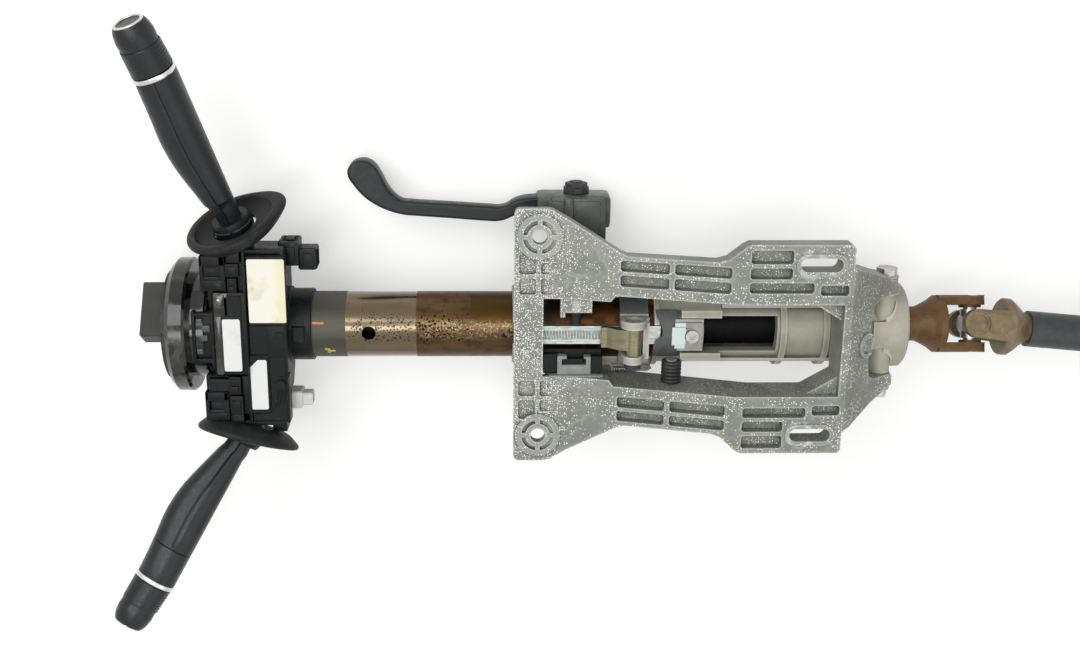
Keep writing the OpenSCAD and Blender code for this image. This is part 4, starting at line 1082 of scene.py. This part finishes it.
brush_marks("orange_tick", "jacket", ORANGE, [((110.4, 6.6), (118.4, 6.4), 1.5)], tube_top)
brush_marks("yellow_dab", "jacket", YELLOW, [
    ((118, -11.4), (121.6, -12.6), 2.2), ((121, -13.6), (124.8, -13), 1.6),
    ((119.4, -14.2), (121.4, -14.8), 1.0)], tube_top)


# Floor, light and camera

FLOOR_COLOUR = (0.72, 0.72, 0.71, 1)
FLOOR_GLOW = 0.36
WORLD_LIGHT = 0.45
LIGHT_AIM = (0.25, 0, 0)


def larger(tree, first, second):
    node = tree.nodes.new("ShaderNodeMath")
    node.operation = "MAXIMUM"
    tree.links.new(first, node.inputs[0])
    tree.links.new(second, node.inputs[1])
    return node.outputs["Value"]


def seen_rays(tree):
    """1 for rays from the camera and in mirrors or glass, 0 for rays that light surfaces."""
    rays = tree.nodes.new("ShaderNodeLightPath").outputs
    mirrored = larger(tree, rays["Is Camera Ray"], rays["Is Glossy Ray"])
    return larger(tree, mirrored, rays["Is Transmission Ray"])


def pale_floor():
    """A plain floor that keeps the shadow and is seen as nearly white."""
    bpy.ops.mesh.primitive_plane_add(size=8, location=(0.4, 0, cad_box[0].z - 1 * MM))
    floor = bpy.context.object
    floor.name = "floor"
    material = bpy.data.materials.new("pale_floor")
    material.use_nodes = True
    tree = material.node_tree
    tree.nodes.clear()
    matt = tree.nodes.new("ShaderNodeBsdfDiffuse")
    matt.inputs["Color"].default_value = FLOOR_COLOUR
    lift = tree.nodes.new("ShaderNodeMath")
    lift.operation = "MULTIPLY"
    lift.inputs[1].default_value = FLOOR_GLOW
    glow = tree.nodes.new("ShaderNodeEmission")
    both = tree.nodes.new("ShaderNodeAddShader")
    output = tree.nodes.new("ShaderNodeOutputMaterial")
    tree.links.new(seen_rays(tree), lift.inputs[0])
    tree.links.new(lift.outputs["Value"], glow.inputs["Strength"])
    tree.links.new(matt.outputs["BSDF"], both.inputs[0])
    tree.links.new(glow.outputs["Emission"], both.inputs[1])
    tree.links.new(both.outputs["Shader"], output.inputs["Surface"])
    floor.data.materials.append(material)


def white_world():
    """A world that is seen as white and lights the column at a lower level."""
    world = bpy.data.worlds.new("studio")
    bpy.context.scene.world = world
    world.use_nodes = True
    tree = world.node_tree
    background = tree.nodes["Background"]
    background.inputs["Color"].default_value = (1, 1, 1, 1)
    level = tree.nodes.new("ShaderNodeMapRange")
    level.inputs["To Min"].default_value = WORLD_LIGHT
    level.inputs["To Max"].default_value = 1.0
    tree.links.new(seen_rays(tree), level.inputs["Value"])
    tree.links.new(level.outputs["Result"], background.inputs["Strength"])


def soft_light(name, place, size, power):
    data = bpy.data.lights.new(name, "AREA")
    data.shape = "RECTANGLE"
    data.size, data.size_y = size
    data.energy = power
    lamp = bpy.data.objects.new(name, data)
    lamp.location = place
    way = Vector(LIGHT_AIM) - Vector(place)
    lamp.rotation_euler = way.to_track_quat("-Z", "Y").to_euler()
    bpy.context.scene.collection.objects.link(lamp)


def camera():
    """Looks down on the column as the photograph does, tilted towards the side of the lever."""
    tilt = math.radians(17)
    pan = math.radians(2.4)
    distance = 871
    aim = Vector((257.4, 0, 0))
    back = Vector((-math.sin(pan), math.sin(tilt) * math.cos(pan), math.cos(tilt) * math.cos(pan)))
    up = Vector((0, math.cos(tilt), -math.sin(tilt)))
    right = up.cross(back)
    turn = Matrix((right, up, back)).transposed().to_4x4()
    data = bpy.data.cameras.new("camera")
    data.sensor_width = 36
    data.lens = 44
    piece = bpy.data.objects.new("camera", data)
    piece.matrix_world = Matrix.Translation((aim + back * distance) * MM) @ turn
    bpy.context.scene.collection.objects.link(piece)
    bpy.context.scene.camera = piece


pale_floor()
white_world()
soft_light("key", (-0.6, 0.9, 1.6), (1.1, 1.1), 15)
soft_light("strip", (0.1, 0.18, 1.8), (1.3, 0.45), 11)
soft_light("fill", (1.3, -0.7, 1.5), (1.5, 1.5), 6)
camera()
bpy.context.scene.view_settings.view_transform = "Standard"
